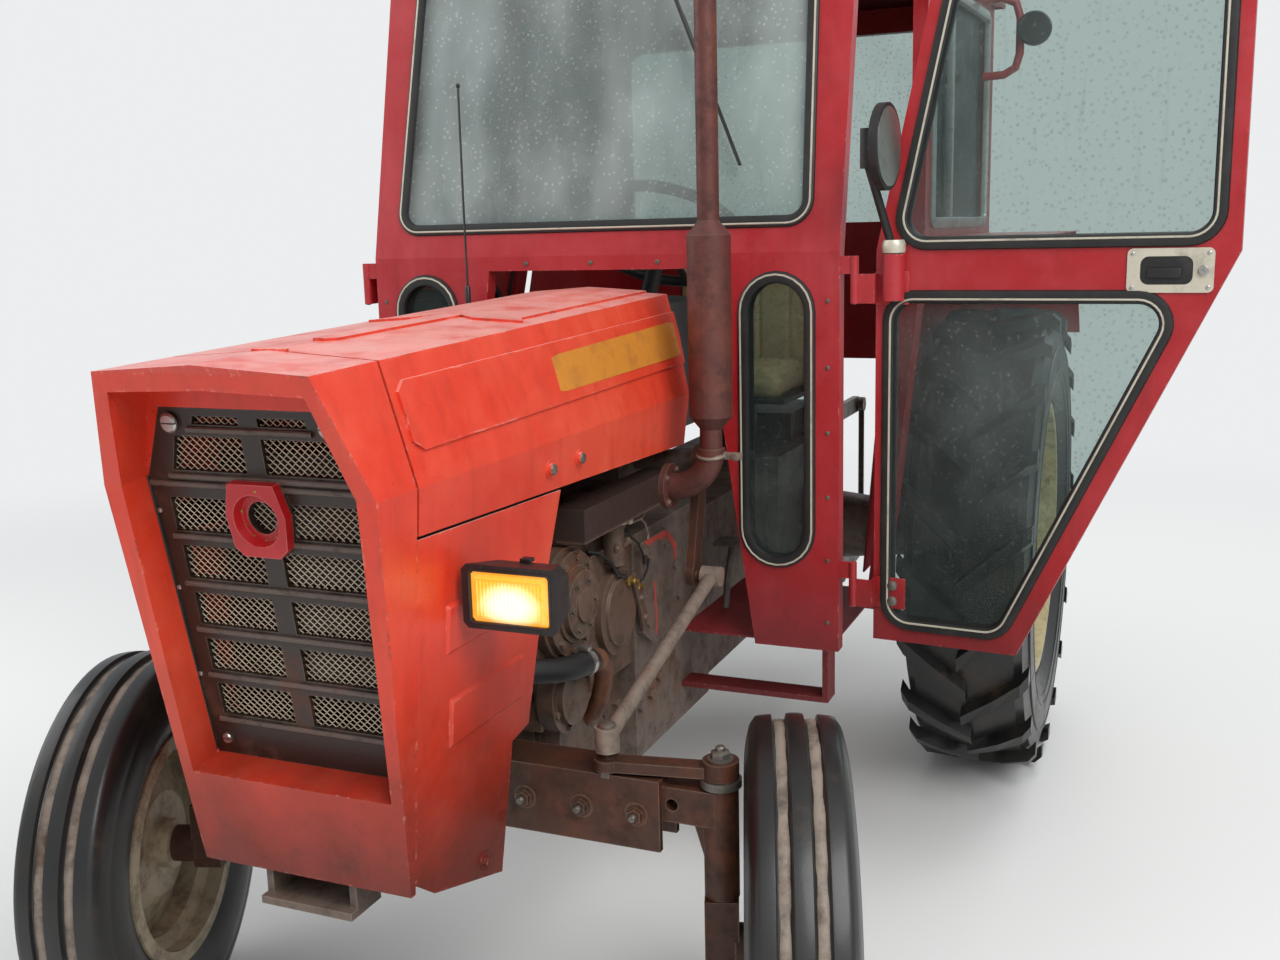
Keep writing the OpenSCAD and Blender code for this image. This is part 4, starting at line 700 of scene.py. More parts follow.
@dataclass(frozen=True)
class GrilleIron:
    """Dark worn iron of the grille, with lighter crests and edges that are partly worn and partly a painted highlight,
    and the red badge holder in its middle.
    """

    name: str = "grille_black"
    foot: Point = (2.880, 0.0, 0.756)
    rake: float = math.radians(9.0)
    badge_drop: float = 0.044
    badge_face: float = 0.0056
    badge_half_w: float = 0.0505
    badge_half_h: float = 0.0555

    def build(self) -> Finish:
        """Makes the material."""
        s = Shader(self.name)
        lean = (math.cos(self.rake), 0.0, -math.sin(self.rake))
        place = s.out("ShaderNodeVectorMath", {0: s.place, 1: self.foot}, operation="SUBTRACT")
        ahead = s.dot(place, lean)
        far = (s.dot(place, (-lean[2], 0.0, lean[0])) + self.badge_drop).absolute()
        near = (self.badge_half_w > s.along("Y").absolute()) * (self.badge_half_h > far)
        # Only faces further forward than badge_face turn red; the badge block's sides nearer the grille stay dark iron,
        # a strip that serves as painted shadow beside the badge.
        badge = (ahead > self.badge_face) * near
        patches = s.noise(10, 6, 0.7, 26).step(0.56, 0.66)
        colour = s.mix(patches * 0.7, "281c14", "54301f")
        # Lighter rib crests and edges: partly worn paint, partly a painted highlight.
        edge = s.edges(0.003, 0.03, 0.2) * s.noise(34, 5).step(0.3, 0.6)
        crest_wear_and_highlight = ahead.step(0.0026, 0.0044) * s.noise(40, 5, 0.6, 31).step(0.25, 0.5)
        colour = s.mix((edge * 0.55 + crest_wear_and_highlight * 0.3).clamped(), colour, "8a7468")
        faded = s.noise(20, 5).step(0.45, 0.7)
        red = s.mix(faded * 0.5, "a80d14", "bf2a2f")
        # The red badge gets lighter edges: partly worn paint, partly a painted highlight.
        colour = s.mix(badge, colour, s.mix(edge * 0.4, red, "e8a09a"))
        return s.finish(Base_Color=colour, Roughness=(0.42 + patches * 0.25).clamped(),
                        Normal=s.bump(s.noise(130, 4), 0.25, 0.001), Coat_Weight=0.15, Coat_Roughness=0.3)


class Finishes:
    """Every material of the tractor."""

    def __init__(self) -> None:
        """Builds the materials once."""
        # The bonnet's and the cab's dirt colours, with their muddy weights, darken the lower panels: partly dirt,
        # partly painted shade.
        self.bonnet = OldPaint("bonnet_paint", "d2331b", "e05a3e", "a32a15", wear=0.55, low=0.62, high=1.1,
                               worn="f0a898", dirt="4c1a0a", fade=0.5, bleach=0.6, muddy=0.88).build()
        self.cab = OldPaint("cab_paint", "a0141a", "b23a40", "7a0f12", wear=0.5, low=0.6, high=1.1, dirt="38100d",
                            fade=0.4, seed=20).build()
        self.inner = OldPaint("inner_paint", "9b2a28", "b4504b", "701c1b", wear=0.35, seed=33).build()
        # The engine darkens above 0.962 m: soot and painted shade under the bonnet.
        self.engine = CastMetal("engine_cast", "644e40", "6a3c25", "2c1f18", 0.45, seed=3, soot=0.962).build()
        self.gear = CastMetal("gear_cast", "6a5a50", "6b432c", "2d231c", 0.4, seed=8).build()
        self.axle = CastMetal("axle_cast", "472a1c", "5e321c", "23170f", 0.6, seed=12).build()
        self.link = CastMetal("link_paint", "857669", "76543c", "3f3228", 0.35, seed=15, grain=60).build()
        self.exhaust = CastMetal("exhaust_rust", "5c3029", "733f2d", "331d18", 0.55, seed=18).build()
        self.steel = CastMetal("worn_steel", "6f6a63", "6b4c38", "35302b", 0.4, 0.6, 0.42, seed=22).build()
        self.grille = GrilleIron().build()
        self.net = PlainFinish("net_metal", "c4b59c", "8a7d69", 0.35, 0.4).build()
        self.front_rim = CastMetal("front_rim_paint", "a3967c", "76492c", "4a4032", 0.4, 0.05, 0.5, 60, 31).build()
        self.rear_rim = CastMetal("rear_rim_paint", "b9ad86", "8a5f38", "5a4e38", 0.3, 0.05, 0.5, 60, 35).build()
        self.tyre = TyreRubber("tyre_rubber").build()
        self.rear_tyre = TyreRubber("rear_tyre_rubber", muddy=0.6, seed=5).build()
        self.mud = CastMetal("dried_mud", "8f8174", "5e4635", "2b241e", 0.5, 0.0, 0.75, 240, 44).build()
        self.glass = WindowGlass().build()
        self.gasket = PlainFinish("gasket_rubber", "191918", "2b2a28", rough=0.5).build()
        self.trim = PlainFinish("trim_strip", "c9c3b0", "8f8a7c", 0.3, 0.35).build()
        self.black = PlainFinish("black_plastic", "1c1b1a", "343230", rough=0.42).build()
        self.dash = PlainFinish("dash_paint", "2b2a29", "4a4540", rough=0.5).build()
        self.bright = PlainFinish("bright_metal", "b9b7b2", "8a8781", 0.9, 0.3).build()
        self.alloy = PlainFinish("window_alloy", "b4b6b4", "8d8f8c", 0.8, 0.4).build()
        self.cover = PlainFinish("seat_cover", "cdb98a", "a08c63", rough=0.55, grain=90, bumpy=0.25).build()
        self.plate = PlainFinish("blank_plate", "c9822e", "a5642a", rough=0.4).build()
        self.brass = PlainFinish("worn_brass", "a98a4a", "6f5a34", 0.8, 0.4).build()
        self.elbow = CastMetal("rusty_elbow", "6a3f28", "8a4f2c", "2e1d15", 0.6, seed=41).build()
        self.chalk = PlainFinish("red_smear", "b0362c", "7d3a30", rough=0.7).build()
        self.lens = LensGlass().build()


DRESSED = {
    "bonnet": "bonnet nose_cowl side_panels",
    "cab": "cab_front cab_sides cab_rear cab_roof cab_floor fenders door_left door_right",
    "glass": "fixed_glass door_left_glass door_right_glass",
    "engine": "engine",
    "gear": "transmission rear_axle front_support",
    "axle": "axle_beam knuckle_left knuckle_right drop_arm_left drop_arm_right",
    "link": "drag_link_left drag_link_right",
    "exhaust": "exhaust",
    "steel": "lower_links lift_arms lift_rods drawbar pto_shaft",
    "grille": "grille radiator",
    "black": "lamps steering_wheel side_mirror seat",
    "lens": "lamp_lenses",
    "dash": "controls",
    "cover": "seat_cushion",
    "tyre": "tyre_front_left tyre_front_right",
    "rear_tyre": "tyre_rear_left tyre_rear_right",
    "front_rim": "rim_front_left rim_front_right",
    "rear_rim": "rim_rear_left rim_rear_right",
}


def dress(finishes: Finishes) -> None:
    """Gives the CAD nodes their materials in place of the plain ones."""
    for finish, nodes in DRESSED.items():
        for name in nodes.split():
            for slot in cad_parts[name].material_slots:
                slot.material = getattr(finishes, finish)


@dataclass
class Studio:
    """Camera, floor and soft light."""

    eye: tuple[float, float, float] = (1805.0, 1156.0, 1497.0)
    yaw: float = 202.974
    pitch: float = -10.910
    roll: float = -1.467
    lens: float = 36.67

    def build(self) -> None:
        """Sets the camera, floor, world and lamps."""
        scene = bpy.context.scene
        scene.view_settings.view_transform = "Standard"
        self.camera(scene)
        self.floor(scene)
        self.light(scene)

    def camera(self, scene: bpy.types.Scene) -> None:
        """Places the camera at the photograph's eye point."""
        yaw, pitch, roll = (math.radians(a) for a in (self.yaw, self.pitch, self.roll))
        ahead = Vector((math.cos(pitch) * math.cos(yaw), math.cos(pitch) * math.sin(yaw), math.sin(pitch)))
        level = ahead.cross(Vector(UP)).normalized()
        above = level.cross(ahead)
        right = math.cos(roll) * level + math.sin(roll) * above
        up = math.cos(roll) * above - math.sin(roll) * level
        data = bpy.data.cameras.new("photo_camera")
        data.sensor_width = 36.0
        data.lens = self.lens
        camera = bpy.data.objects.new("photo_camera", data)
        turn = Matrix((right, up, -ahead)).transposed().to_4x4()
        camera.matrix_world = Matrix.Translation(TRACTOR @ Vector(self.eye)) @ turn
        scene.collection.objects.link(camera)
        scene.camera = camera

    def floor(self, scene: bpy.types.Scene) -> None:
        """Lays a plain pale floor under the wheels, which runs into the pale background."""
        s = Shader("pale_floor")
        matt = s.surface(Base_Color=(0.78, 0.78, 0.76), Roughness=0.9)
        plain = s.out("ShaderNodeEmission", {"Color": BACKDROP, "Strength": 1.0})
        away = s.out("ShaderNodeVectorMath", {0: s.place, 1: (1.5, 0.0, 0.0)}, "Value", operation="DISTANCE")
        finish = s.end(s.blend(away.step(2.6, 6.5) * s.seen_plainly(), matt, plain))
        data = bpy.data.meshes.new("floor")
        z = -DRAWBAR_Z * MM
        reach = 40.0
        data.from_pydata([(-reach, -reach, z), (reach, -reach, z), (reach, reach, z), (-reach, reach, z)], [],
                         [(0, 1, 2, 3)])
        data.materials.append(finish)
        floor = bpy.data.objects.new("floor", data)
        scene.collection.objects.link(floor)

    def light(self, scene: bpy.types.Scene) -> None:
        """Sets an even world and three large soft lamps."""
        s = Shader("soft_world", bpy.data.worlds)
        sky = s.out("ShaderNodeBackground", {"Color": SKY, "Strength": 0.62})
        plain = s.out("ShaderNodeBackground", {"Color": BACKDROP, "Strength": 1.0})
        scene.world = s.end(s.blend(s.seen_plainly(), sky, plain), "World")
        for name, place, power, size in (("key", (4.5, 3.2, 4.2), 240.0, 3.5), ("fill", (3.0, -4.5, 3.2), 110.0, 4.0),
                                         ("back", (-3.0, 1.5, 4.5), 120.0, 4.0)):
            data = bpy.data.lights.new(name, "AREA")
            data.energy = power
            data.size = size
            lamp = bpy.data.objects.new(name, data)
            lamp.location = place
            target = Vector((1.6, 0, 0.5)) - Vector(place)
            lamp.rotation_euler = target.to_track_quat("-Z", "Y").to_euler()
            scene.collection.objects.link(lamp)


@dataclass
class Assembly:
    """A group of pieces that are drawn over the frame and take the tractor's materials."""

    finishes: Finishes


@dataclass
class Windows(Assembly):
    """Rubber gaskets with their filler strip round the fixed panes."""

    lip: float = 17.0
    proud: float = 8.0
    strip: float = 2.2

    def gasket(self, name: str, place: Matrix, outline: Sequence[Point], plane: str, outer: float, body: str,
               thick: float = WALL_T) -> None:
        """Lays a gasket round a window's opening.

        Args:
            name: Name of the piece.
            place: Frame in which the outline is drawn.
            outline: The opening's edge.
            plane: "yz" for a pane across the tractor, "xz" for one along it.
            outer: Place of the panel's outer face across the plane.
            body: Body that it rides on.
            thick: Thickness of the panel.
        """
        normal = AHEAD if plane == "yz" else RIGHT
        sign = 1.0 if plane == "yz" else -1.0

        def lifted(depth: float) -> list[tuple[float, float, float]]:
            """Outline at a depth outside the panel's outer face."""
            if plane == "yz":
                return [(outer + depth, a, b) for a, b in outline]
            return [(a, outer - depth, b) for a, b in outline]

        out, proud = self.lip, self.proud
        profile = [(-out, 0), (-out * 0.86, proud * 0.7), (-out * 0.2, proud), (out * 0.35, proud * 0.55),
                   (out * 0.5, -4), (out * 0.5, -thick + 6), (out * 0.3, -thick - proud * 0.6),
                   (-out * 0.7, -thick - proud * 0.8), (-out * 0.9, -thick), (0.4, -thick + 1), (0.4, -1)]
        turned = [(s * sign, t) for s, t in profile]
        rubber = Solid(place).sweep(lifted(0), turned, loop=True, up=normal)
        rubber.make(name, "window", self.finishes.gasket, body)
        bead = [(s * sign, t) for s, t in circle(self.strip, 6)]
        band = Solid(place).sweep(lifted(proud * 0.86), bead, loop=True, up=normal)
        band.make(name + "_strip", "window", self.finishes.trim, body)

    def build(self) -> None:
        """Lays the gaskets of the cab's fixed windows."""
        high = SCREEN_H
        screen = rounded([(466, 56), (450, high - 46), (-450, high - 46), (-466, 56)], 46, 8)
        self.gasket("screen_gasket", screen_place(), screen, "yz", 0, "root")
        for side in Side:
            y = 400.0 * side.value
            arch = half_circle(73, 12)
            slot = [(y + a, 1329 + b) for a, b in arch] + [(y - a, 888 - b) for a, b in arch]
            self.gasket(f"front_slot_gasket_{side.word}", TRACTOR, slot, "yz", CAB_X, "root")


@dataclass
class Doors(Assembly):
    """Gaskets, handles, hinge bolts, seals and the side mirror's glass on the two doors."""

    front: float = 40.0
    width: float = 639.0
    foot: float = 284.0
    low: float = 668.0
    knee: float = 1435.0
    border: float = 40.0
    sill_low: float = 1352.0
    sill_high: float = 1460.0
    corner: float = 44.0
    head: float = 48.0
    sill: float = 42.0
    front_stile: float = 30.0
    rear_stile: float = 54.0
    outer: float = -2.0
    hinge_heights: tuple[float, float] = (740.0, 1345.0)

    def rear_edge(self, z: float) -> float:
        """Place of the slanted rear edge at a height."""
        rear = self.front + self.width
        foot = self.front + self.foot
        return foot + (z - self.low) * (rear - foot) / (self.knee - self.low)

    def pillar(self, z: float) -> float:
        """Lean of the front edge above the belt line."""
        return max(0.0, z - BELT_Z) * SCREEN_SLOPE

    def windows(self) -> dict[str, Outline]:
        """Outlines of the upper and the lower window."""
        rear = self.front + self.width
        top = ROOF_Z - self.head
        upper = [(self.front + self.border + self.pillar(self.sill_high), self.sill_high),
                 (rear - self.border, self.sill_high), (rear - self.border, top),
                 (self.front + self.border + self.pillar(top), top)]
        foot, head = self.low + self.sill, self.sill_low
        front = self.front + self.front_stile
        lower = [(front, foot), (self.rear_edge(foot) - self.rear_stile, foot),
                 (self.rear_edge(head) - self.rear_stile, head), (front, head)]
        return {"upper": rounded(upper, self.corner, 8), "lower": rounded(lower, self.corner, 8)}

    def handle(self, side: Side, place: Matrix, body: str) -> None:
        """Makes the handle plate with its recess, paddle and lock."""
        rear = self.rear_edge(1404)
        x0, x1, y = rear - 168, rear - 26, self.outer

        def frame_line(left: float, right: float, low: float, high: float, radius: float) -> Outline:
            """Rounded rectangle on the door's face."""
            return rounded([(left, low), (right, low), (right, high), (left, high)], radius)

        def stacked(*rows: tuple[Outline, float]) -> list[list[Point]]:
            """Outlines set at their distances from the door's face."""
            return [[(a, y - d, b) for a, b in ring] for ring, d in rows]

        plate = Solid(place)
        outline = frame_line(x0, x1, 1364, 1441, 10)
        hole = frame_line(x0 + 22, x1 - 34, 1378, 1427, 14)
        plate.rings(stacked((outline, 0.2), (outline, 3.4), (hole, 4.2), (hole, 0.4)), capped=False)
        plate.make(f"handle_plate_{side.word}", "cab_red", self.finishes.trim, body)
        dish = Solid(place).rings(stacked((hole, 3.0), (frame_line(x0 + 30, x1 - 42, 1386, 1419, 10), 0.6)))
        dish.block((x0 + 34, y - 9, 1390), (x1 - 52, y - 3, 1407), 2)
        dish.make(f"handle_paddle_{side.word}", "dash_black", self.finishes.black, body)
        barrel = [(0, 0), (9, 0), (9, 5), (7.5, 6.5), (3, 6.5), (2.4, 4), (0, 4)]
        lock = Solid(place).lathe((x1 - 17, y - 3, 1402), RIGHT, barrel, 24)
        for u, w in ((x0 + 9, 1373), (x0 + 9, 1432), (x1 - 9, 1373), (x1 - 9, 1432)):
            lock.screw((u, y - 3.2, w), RIGHT, 4)
        lock.make(f"handle_lock_{side.word}", "shaft_steel", self.finishes.bright, body)

    def hinges(self, side: Side, place: Matrix, body: str) -> None:
        """Adds the hinge leaves and their round bolts."""
        leaves = Solid(place)
        bolts = Solid(place)
        for z in self.hinge_heights:
            leaves.block((self.front - 1, self.outer - 5, z - 4), (self.front + 66, self.outer - 0.3, z + 60), 2.5)
            for w in (z + 12, z + 44):
                bolts.lathe((self.front + 40, self.outer - 5, w), RIGHT,
                            [(0, 0), (10.5, 0), (9.5, 4), (5, 6.6), (0, 7.4)], 20)
            for w in (z, z + 56):
                bolts.lathe((*HINGE[:2], w), UP if w > z else DOWN, [(0, 0), (6.2, 0), (5.6, 1.2), (0, 2.2)], 16)
        leaves.make(f"hinge_leaves_{side.word}", "cab_red", self.finishes.cab, body)
        bolts.make(f"hinge_bolts_{side.word}", "shaft_steel", self.finishes.steel, body)

    def seal(self, side: Side, place: Matrix, body: str) -> None:
        """Runs the rubber seal round the door's inner face."""
        rear = self.front + self.width
        top = ROOF_Z - 8
        edge = 12.0
        path = rounded([(self.front + edge, self.low + edge), (self.rear_edge(self.low + edge) - edge, self.low + edge),
                        (rear - edge, self.knee), (rear - edge, top - edge),
                        (self.front + edge + self.pillar(top), top - edge), (self.front + edge, BELT_Z)], 12)
        line = [(a, self.outer + DOOR_T + 2.5, b) for a, b in path]
        rubber = Solid(place).sweep(line, circle(4.5, 8), loop=True, up=LEFT)
        rubber.make(f"door_seal_{side.word}", "dash_black", self.finishes.gasket, body)
        y = self.outer + DOOR_T
        grip = ((1, 1500), (34, 1512), (40, 1560), (34, 1640), (1, 1652))
        pull = Solid(place).tube([(rear - 24, y + d, z) for d, z in grip], 6)
        pull.make(f"door_pull_{side.word}", "dash_black", self.finishes.black, body)

    def build(self) -> None:
        """Dresses both doors."""
        windows = Windows(self.finishes)
        for side in Side:
            place = door_place(side)
            body = f"door_{side.word}"
            for name, outline in self.windows().items():
                windows.gasket(f"door_{name}_gasket_{side.word}", place, outline, "xz", self.outer, body, DOOR_T)
            self.handle(side, place, body)
            self.hinges(side, place, body)
            self.seal(side, place, body)
        self.mirror(door_place(Side.LEFT))

    def mirror(self, place: Matrix) -> None:
        """Adds the mirror's glass, its collar and the sleeve at its foot."""
        glass = Solid(place).lathe((90, -92, 1632), AHEAD, [(0, 0.3), (71, 0.3), (71, 1.4), (0, 2.6)], 48)
        glass.make("mirror_glass", "mirror_black", self.finishes.bright, "door_left")
        collar = Solid(place).lathe((80, -22, 1440), UP, [(0, 0), (21, 0), (22, 4), (22, 18), (19, 24), (0, 24)], 28)
        collar.make("mirror_collar", "rear_rim_paint", self.finishes.trim, "door_left")
        sleeve = Solid(place).collar((80, -22, 1350), UP, 0, 20.5, 88)
        sleeve.make("mirror_sleeve", "cab_red", self.finishes.cab, "door_left")


@dataclass
class CabDetails(Assembly):
    """Wiper, rain rail, quarter window frames, rear lamp tube, screws and the aerial."""

    length: float = 1450.0
    door_end: float = 687.0
    post: float = 58.0
    glass: float = 360.0
    overhang: float = 23.0
    brow: float = 52.0
    tail: float = 78.0

    def screen_point(self, y: float, up: float, out: float) -> Vector:
        """A point on the windscreen, in the tractor's millimetres."""
        sine, cosine = math.sin(SCREEN_LEAN), math.cos(SCREEN_LEAN)
        return Vector((CAB_X - up * sine + out * cosine, y, BELT_Z + up * cosine + out * sine))

    def wiper(self) -> None:
        """Builds the wiper that hangs from the windscreen's head."""
        out = (math.cos(SCREEN_LEAN), 0, math.sin(SCREEN_LEAN))
        arm = Solid().lathe(self.screen_point(108, SCREEN_H - 26, 1), out,
                            [(0, 0), (19, 0), (19, 9), (12, 15), (9, 30), (0, 31)], 24)
        bend = ((108, 26, 25), (150, 110, 27), (248, 330, 20))
        arm.tube([self.screen_point(y, SCREEN_H - down, lift) for y, down, lift in bend], 4.2, 8)
        arm.block(self.screen_point(101, SCREEN_H - 38, 18), self.screen_point(117, SCREEN_H - 14, 31), 2)
        arm.make("wiper_arm", "dash_black", self.finishes.black)
        blade = Solid()
        path = [self.screen_point(180 + 28 * k, SCREEN_H - 180 - 62 * k, 11) for k in range(6)]
        blade.sweep(path, [(-3.5, 0), (3.5, 0), (2.4, 7), (-2.4, 7)], up=(1, 0, 0.2))
        blade.sweep(path, [(-1, -7), (1, -7), (1, 0), (-1, 0)], up=(1, 0, 0.2))
        blade.make("wiper_blade", "dash_black", self.finishes.gasket)

    def rain_rail(self) -> None:
        """Runs a folded rail under the roof's edge."""
        rear_x = CAB_X - self.length * math.cos(FLARE)
        rear_hw = CAB_HW + self.length * math.sin(FLARE)
        front = CAB_X - (ROOF_Z - BELT_Z) * SCREEN_SLOPE
        ahead, behind, z = front + self.brow, rear_x - self.tail, ROOF_Z + 1
        narrow, wide = CAB_HW + self.overhang, rear_hw + self.overhang
        path = [(ahead, -narrow, z), (behind, -wide, z), (behind, wide, z), (ahead, narrow, z)]
        rail = Solid().sweep(path, [(-1.5, -6), (2.5, -6), (2.5, 7), (-1.5, 7)], loop=True, up=UP)
        rail.make("rain_rail", "cab_red", self.finishes.cab)

    def quarter_frames(self) -> None:
        """Frames each quarter window in alloy with an upright bar."""
        front = self.door_end + self.post
        back, low, high = self.length - 60, 1494, ROOF_Z - 44
        outline = rounded([(front, low), (back, low), (back, high), (front, high)], 20)
        for side in Side:
            place = cab_side_place(side)
            bars = Solid(place)
            section = [(-14, 0), (-14, 5), (-3, 9), (10, 9), (12, 4), (12, -6), (0, -6)]
            bars.sweep([(a, -0.3, b) for a, b in outline], [(-s, t) for s, t in section], loop=True, up=RIGHT)
            middle = front + 18 + self.glass / 2
            bars.block((middle - 9, -7, low + 2), (middle + 9, 9, high - 2), 1.5)
            bars.block((middle + 14, -4, low + 2), (middle + 24, 9, high - 2), 1.5)
            bars.make(f"quarter_frame_{side.word}", "shaft_steel", self.finishes.alloy)

    def rear_lamp(self) -> None:
        """Bends the tube that carries a lamp at the cab's left rear."""
        bend = ((600, 2070), (650, 2076), (688, 2060), (700, 2020), (700, 1930), (690, 1895), (660, 1878), (606, 1876))
        tube = Solid().tube([(-1940, y, z) for y, z in bend], 11, 12)
        tube.make("lamp_tube", "cab_red", self.finishes.cab)
        lamp = Solid().lathe((-1905, 738, 1990), BACK, [(0, 0), (40, 0), (44, 8), (44, 30), (30, 52), (0, 58)], 28)
        lamp.make("work_lamp", "lamp_black", self.finishes.black)

    def fixings(self) -> None:
        """Screws round the cab's joints and on its roof edge."""
        heads = Solid()
        for y in (-480, -240, 0, 240, 480):
            heads.screw(self.screen_point(y, SCREEN_H - 14, 0.3), (1, 0, 0.22), 5)
        for y in (-150, 0, 150):
            heads.screw((CAB_X + 0.3, y, 1430), AHEAD, 5)
        for side in (-1, 1):
            for z in range(700, 1400, 130):
                heads.screw((CAB_X + 0.3, side * 505, z), AHEAD, 4.5)
        heads.make("cab_screws", "shaft_steel", self.finishes.steel)

    def aerial(self) -> None:
        """Sets a thin aerial rod in front of the cab."""
        rod = Solid().block((-668, -290, 1330), (-640, -196, 1336), 1.5)
        rod.lathe((-654, -276, 1336), UP, [(0, 0), (14, 0), (14, 8), (6, 14), (6, 46), (4, 50), (0, 50)], 20)
        rod.tube([(-654, -276, 1384), (-655, -277, 1560), (-658, -278, 1796)], 2.4, 6)
        rod.lathe((-658, -278, 1796), UP, [(0, -2), (3.6, -1), (4.6, 3), (3.6, 7), (0, 8)], 12)
        rod.make("aerial", "dash_black", self.finishes.black)

    def build(self) -> None:
        """Adds the cab's small pieces."""
        self.wiper()
        self.rain_rail()
        self.quarter_frames()
        self.rear_lamp()
        self.fixings()
        self.aerial()


@dataclass
class Lamps(Assembly):
    """Flutes, rims, screws and cables of the two rectangular front lamps."""

    place: Point = (264.0, 300.0, 994.0)
    half_w: float = 62.0
    half_h: float = 37.0
    flutes: int = 9

    def flute_bars(self, centre: Point, side: Side) -> None:
        """Flutes the face of a lens and edges it with a bead."""
        x, y, z = centre
        bars = Solid()
        pitch = (self.half_w - 11) / self.flutes
        foot, head, inner = z - self.half_h + 10, z + self.half_h - 10, self.half_w - 10
        for k in range(-self.flutes, self.flutes + 1):
            bars.tube([(x - 0.3, y + k * pitch, up) for up in (foot, head - 4)], 1.9, 6)
        bars.tube([(x - 0.4, y + aside, head) for aside in (-inner, inner)], 2.2, 8)
        bars.make(f"lamp_flutes_{side.word}", "lamp_amber", self.finishes.lens)

    def frame_trim(self, centre: Point, side: Side) -> None:
        """Rounds the housing's rim with a rubber bead and sets its screws."""
        x, y, z = centre
        w, h = self.half_w + 1.5, self.half_h + 1.5
        corners = [(w, h), (-w, h), (-w, -h), (w, -h)]
        rim = Solid().tube([(x + 0.2, y + a, z + b) for a, b in rounded(corners, 7, 4)], 2.0, 6, loop=True)
        for b in (-self.half_h - 6.5, self.half_h + 6.5):
            for a in (-44, 44):
                rim.screw((x + 0.2, y + a, z + b), AHEAD, 3)
        rim.block((x - 66, y - 8, z + 40), (x - 50, y + 8, z + 46), 1)
        rim.make(f"lamp_rim_{side.word}", "lamp_black", self.finishes.black)

    def cable(self, centre: Point, side: Side) -> None:
        """Leads the cable from the back of the housing to the side panel."""
        x, y, z = centre
        s = side.value
        bend = ((72, 0, -14), (92, 4, -24), (112, 24, -22), (122, 52, -6), (124, 80, 6))
        path = [(x - back, y - s * aside, z + up) for back, aside, up in bend]
        Solid().tube(path, 3.4, 8).make(f"lamp_cable_{side.word}", "lamp_black", self.finishes.black)

    def build(self) -> None:
        """Dresses both lamps."""
        for side in Side:
            centre = (self.place[0], self.place[1] * side.value, self.place[2])
            self.flute_bars(centre, side)
            self.frame_trim(centre, side)
            self.cable(centre, side)


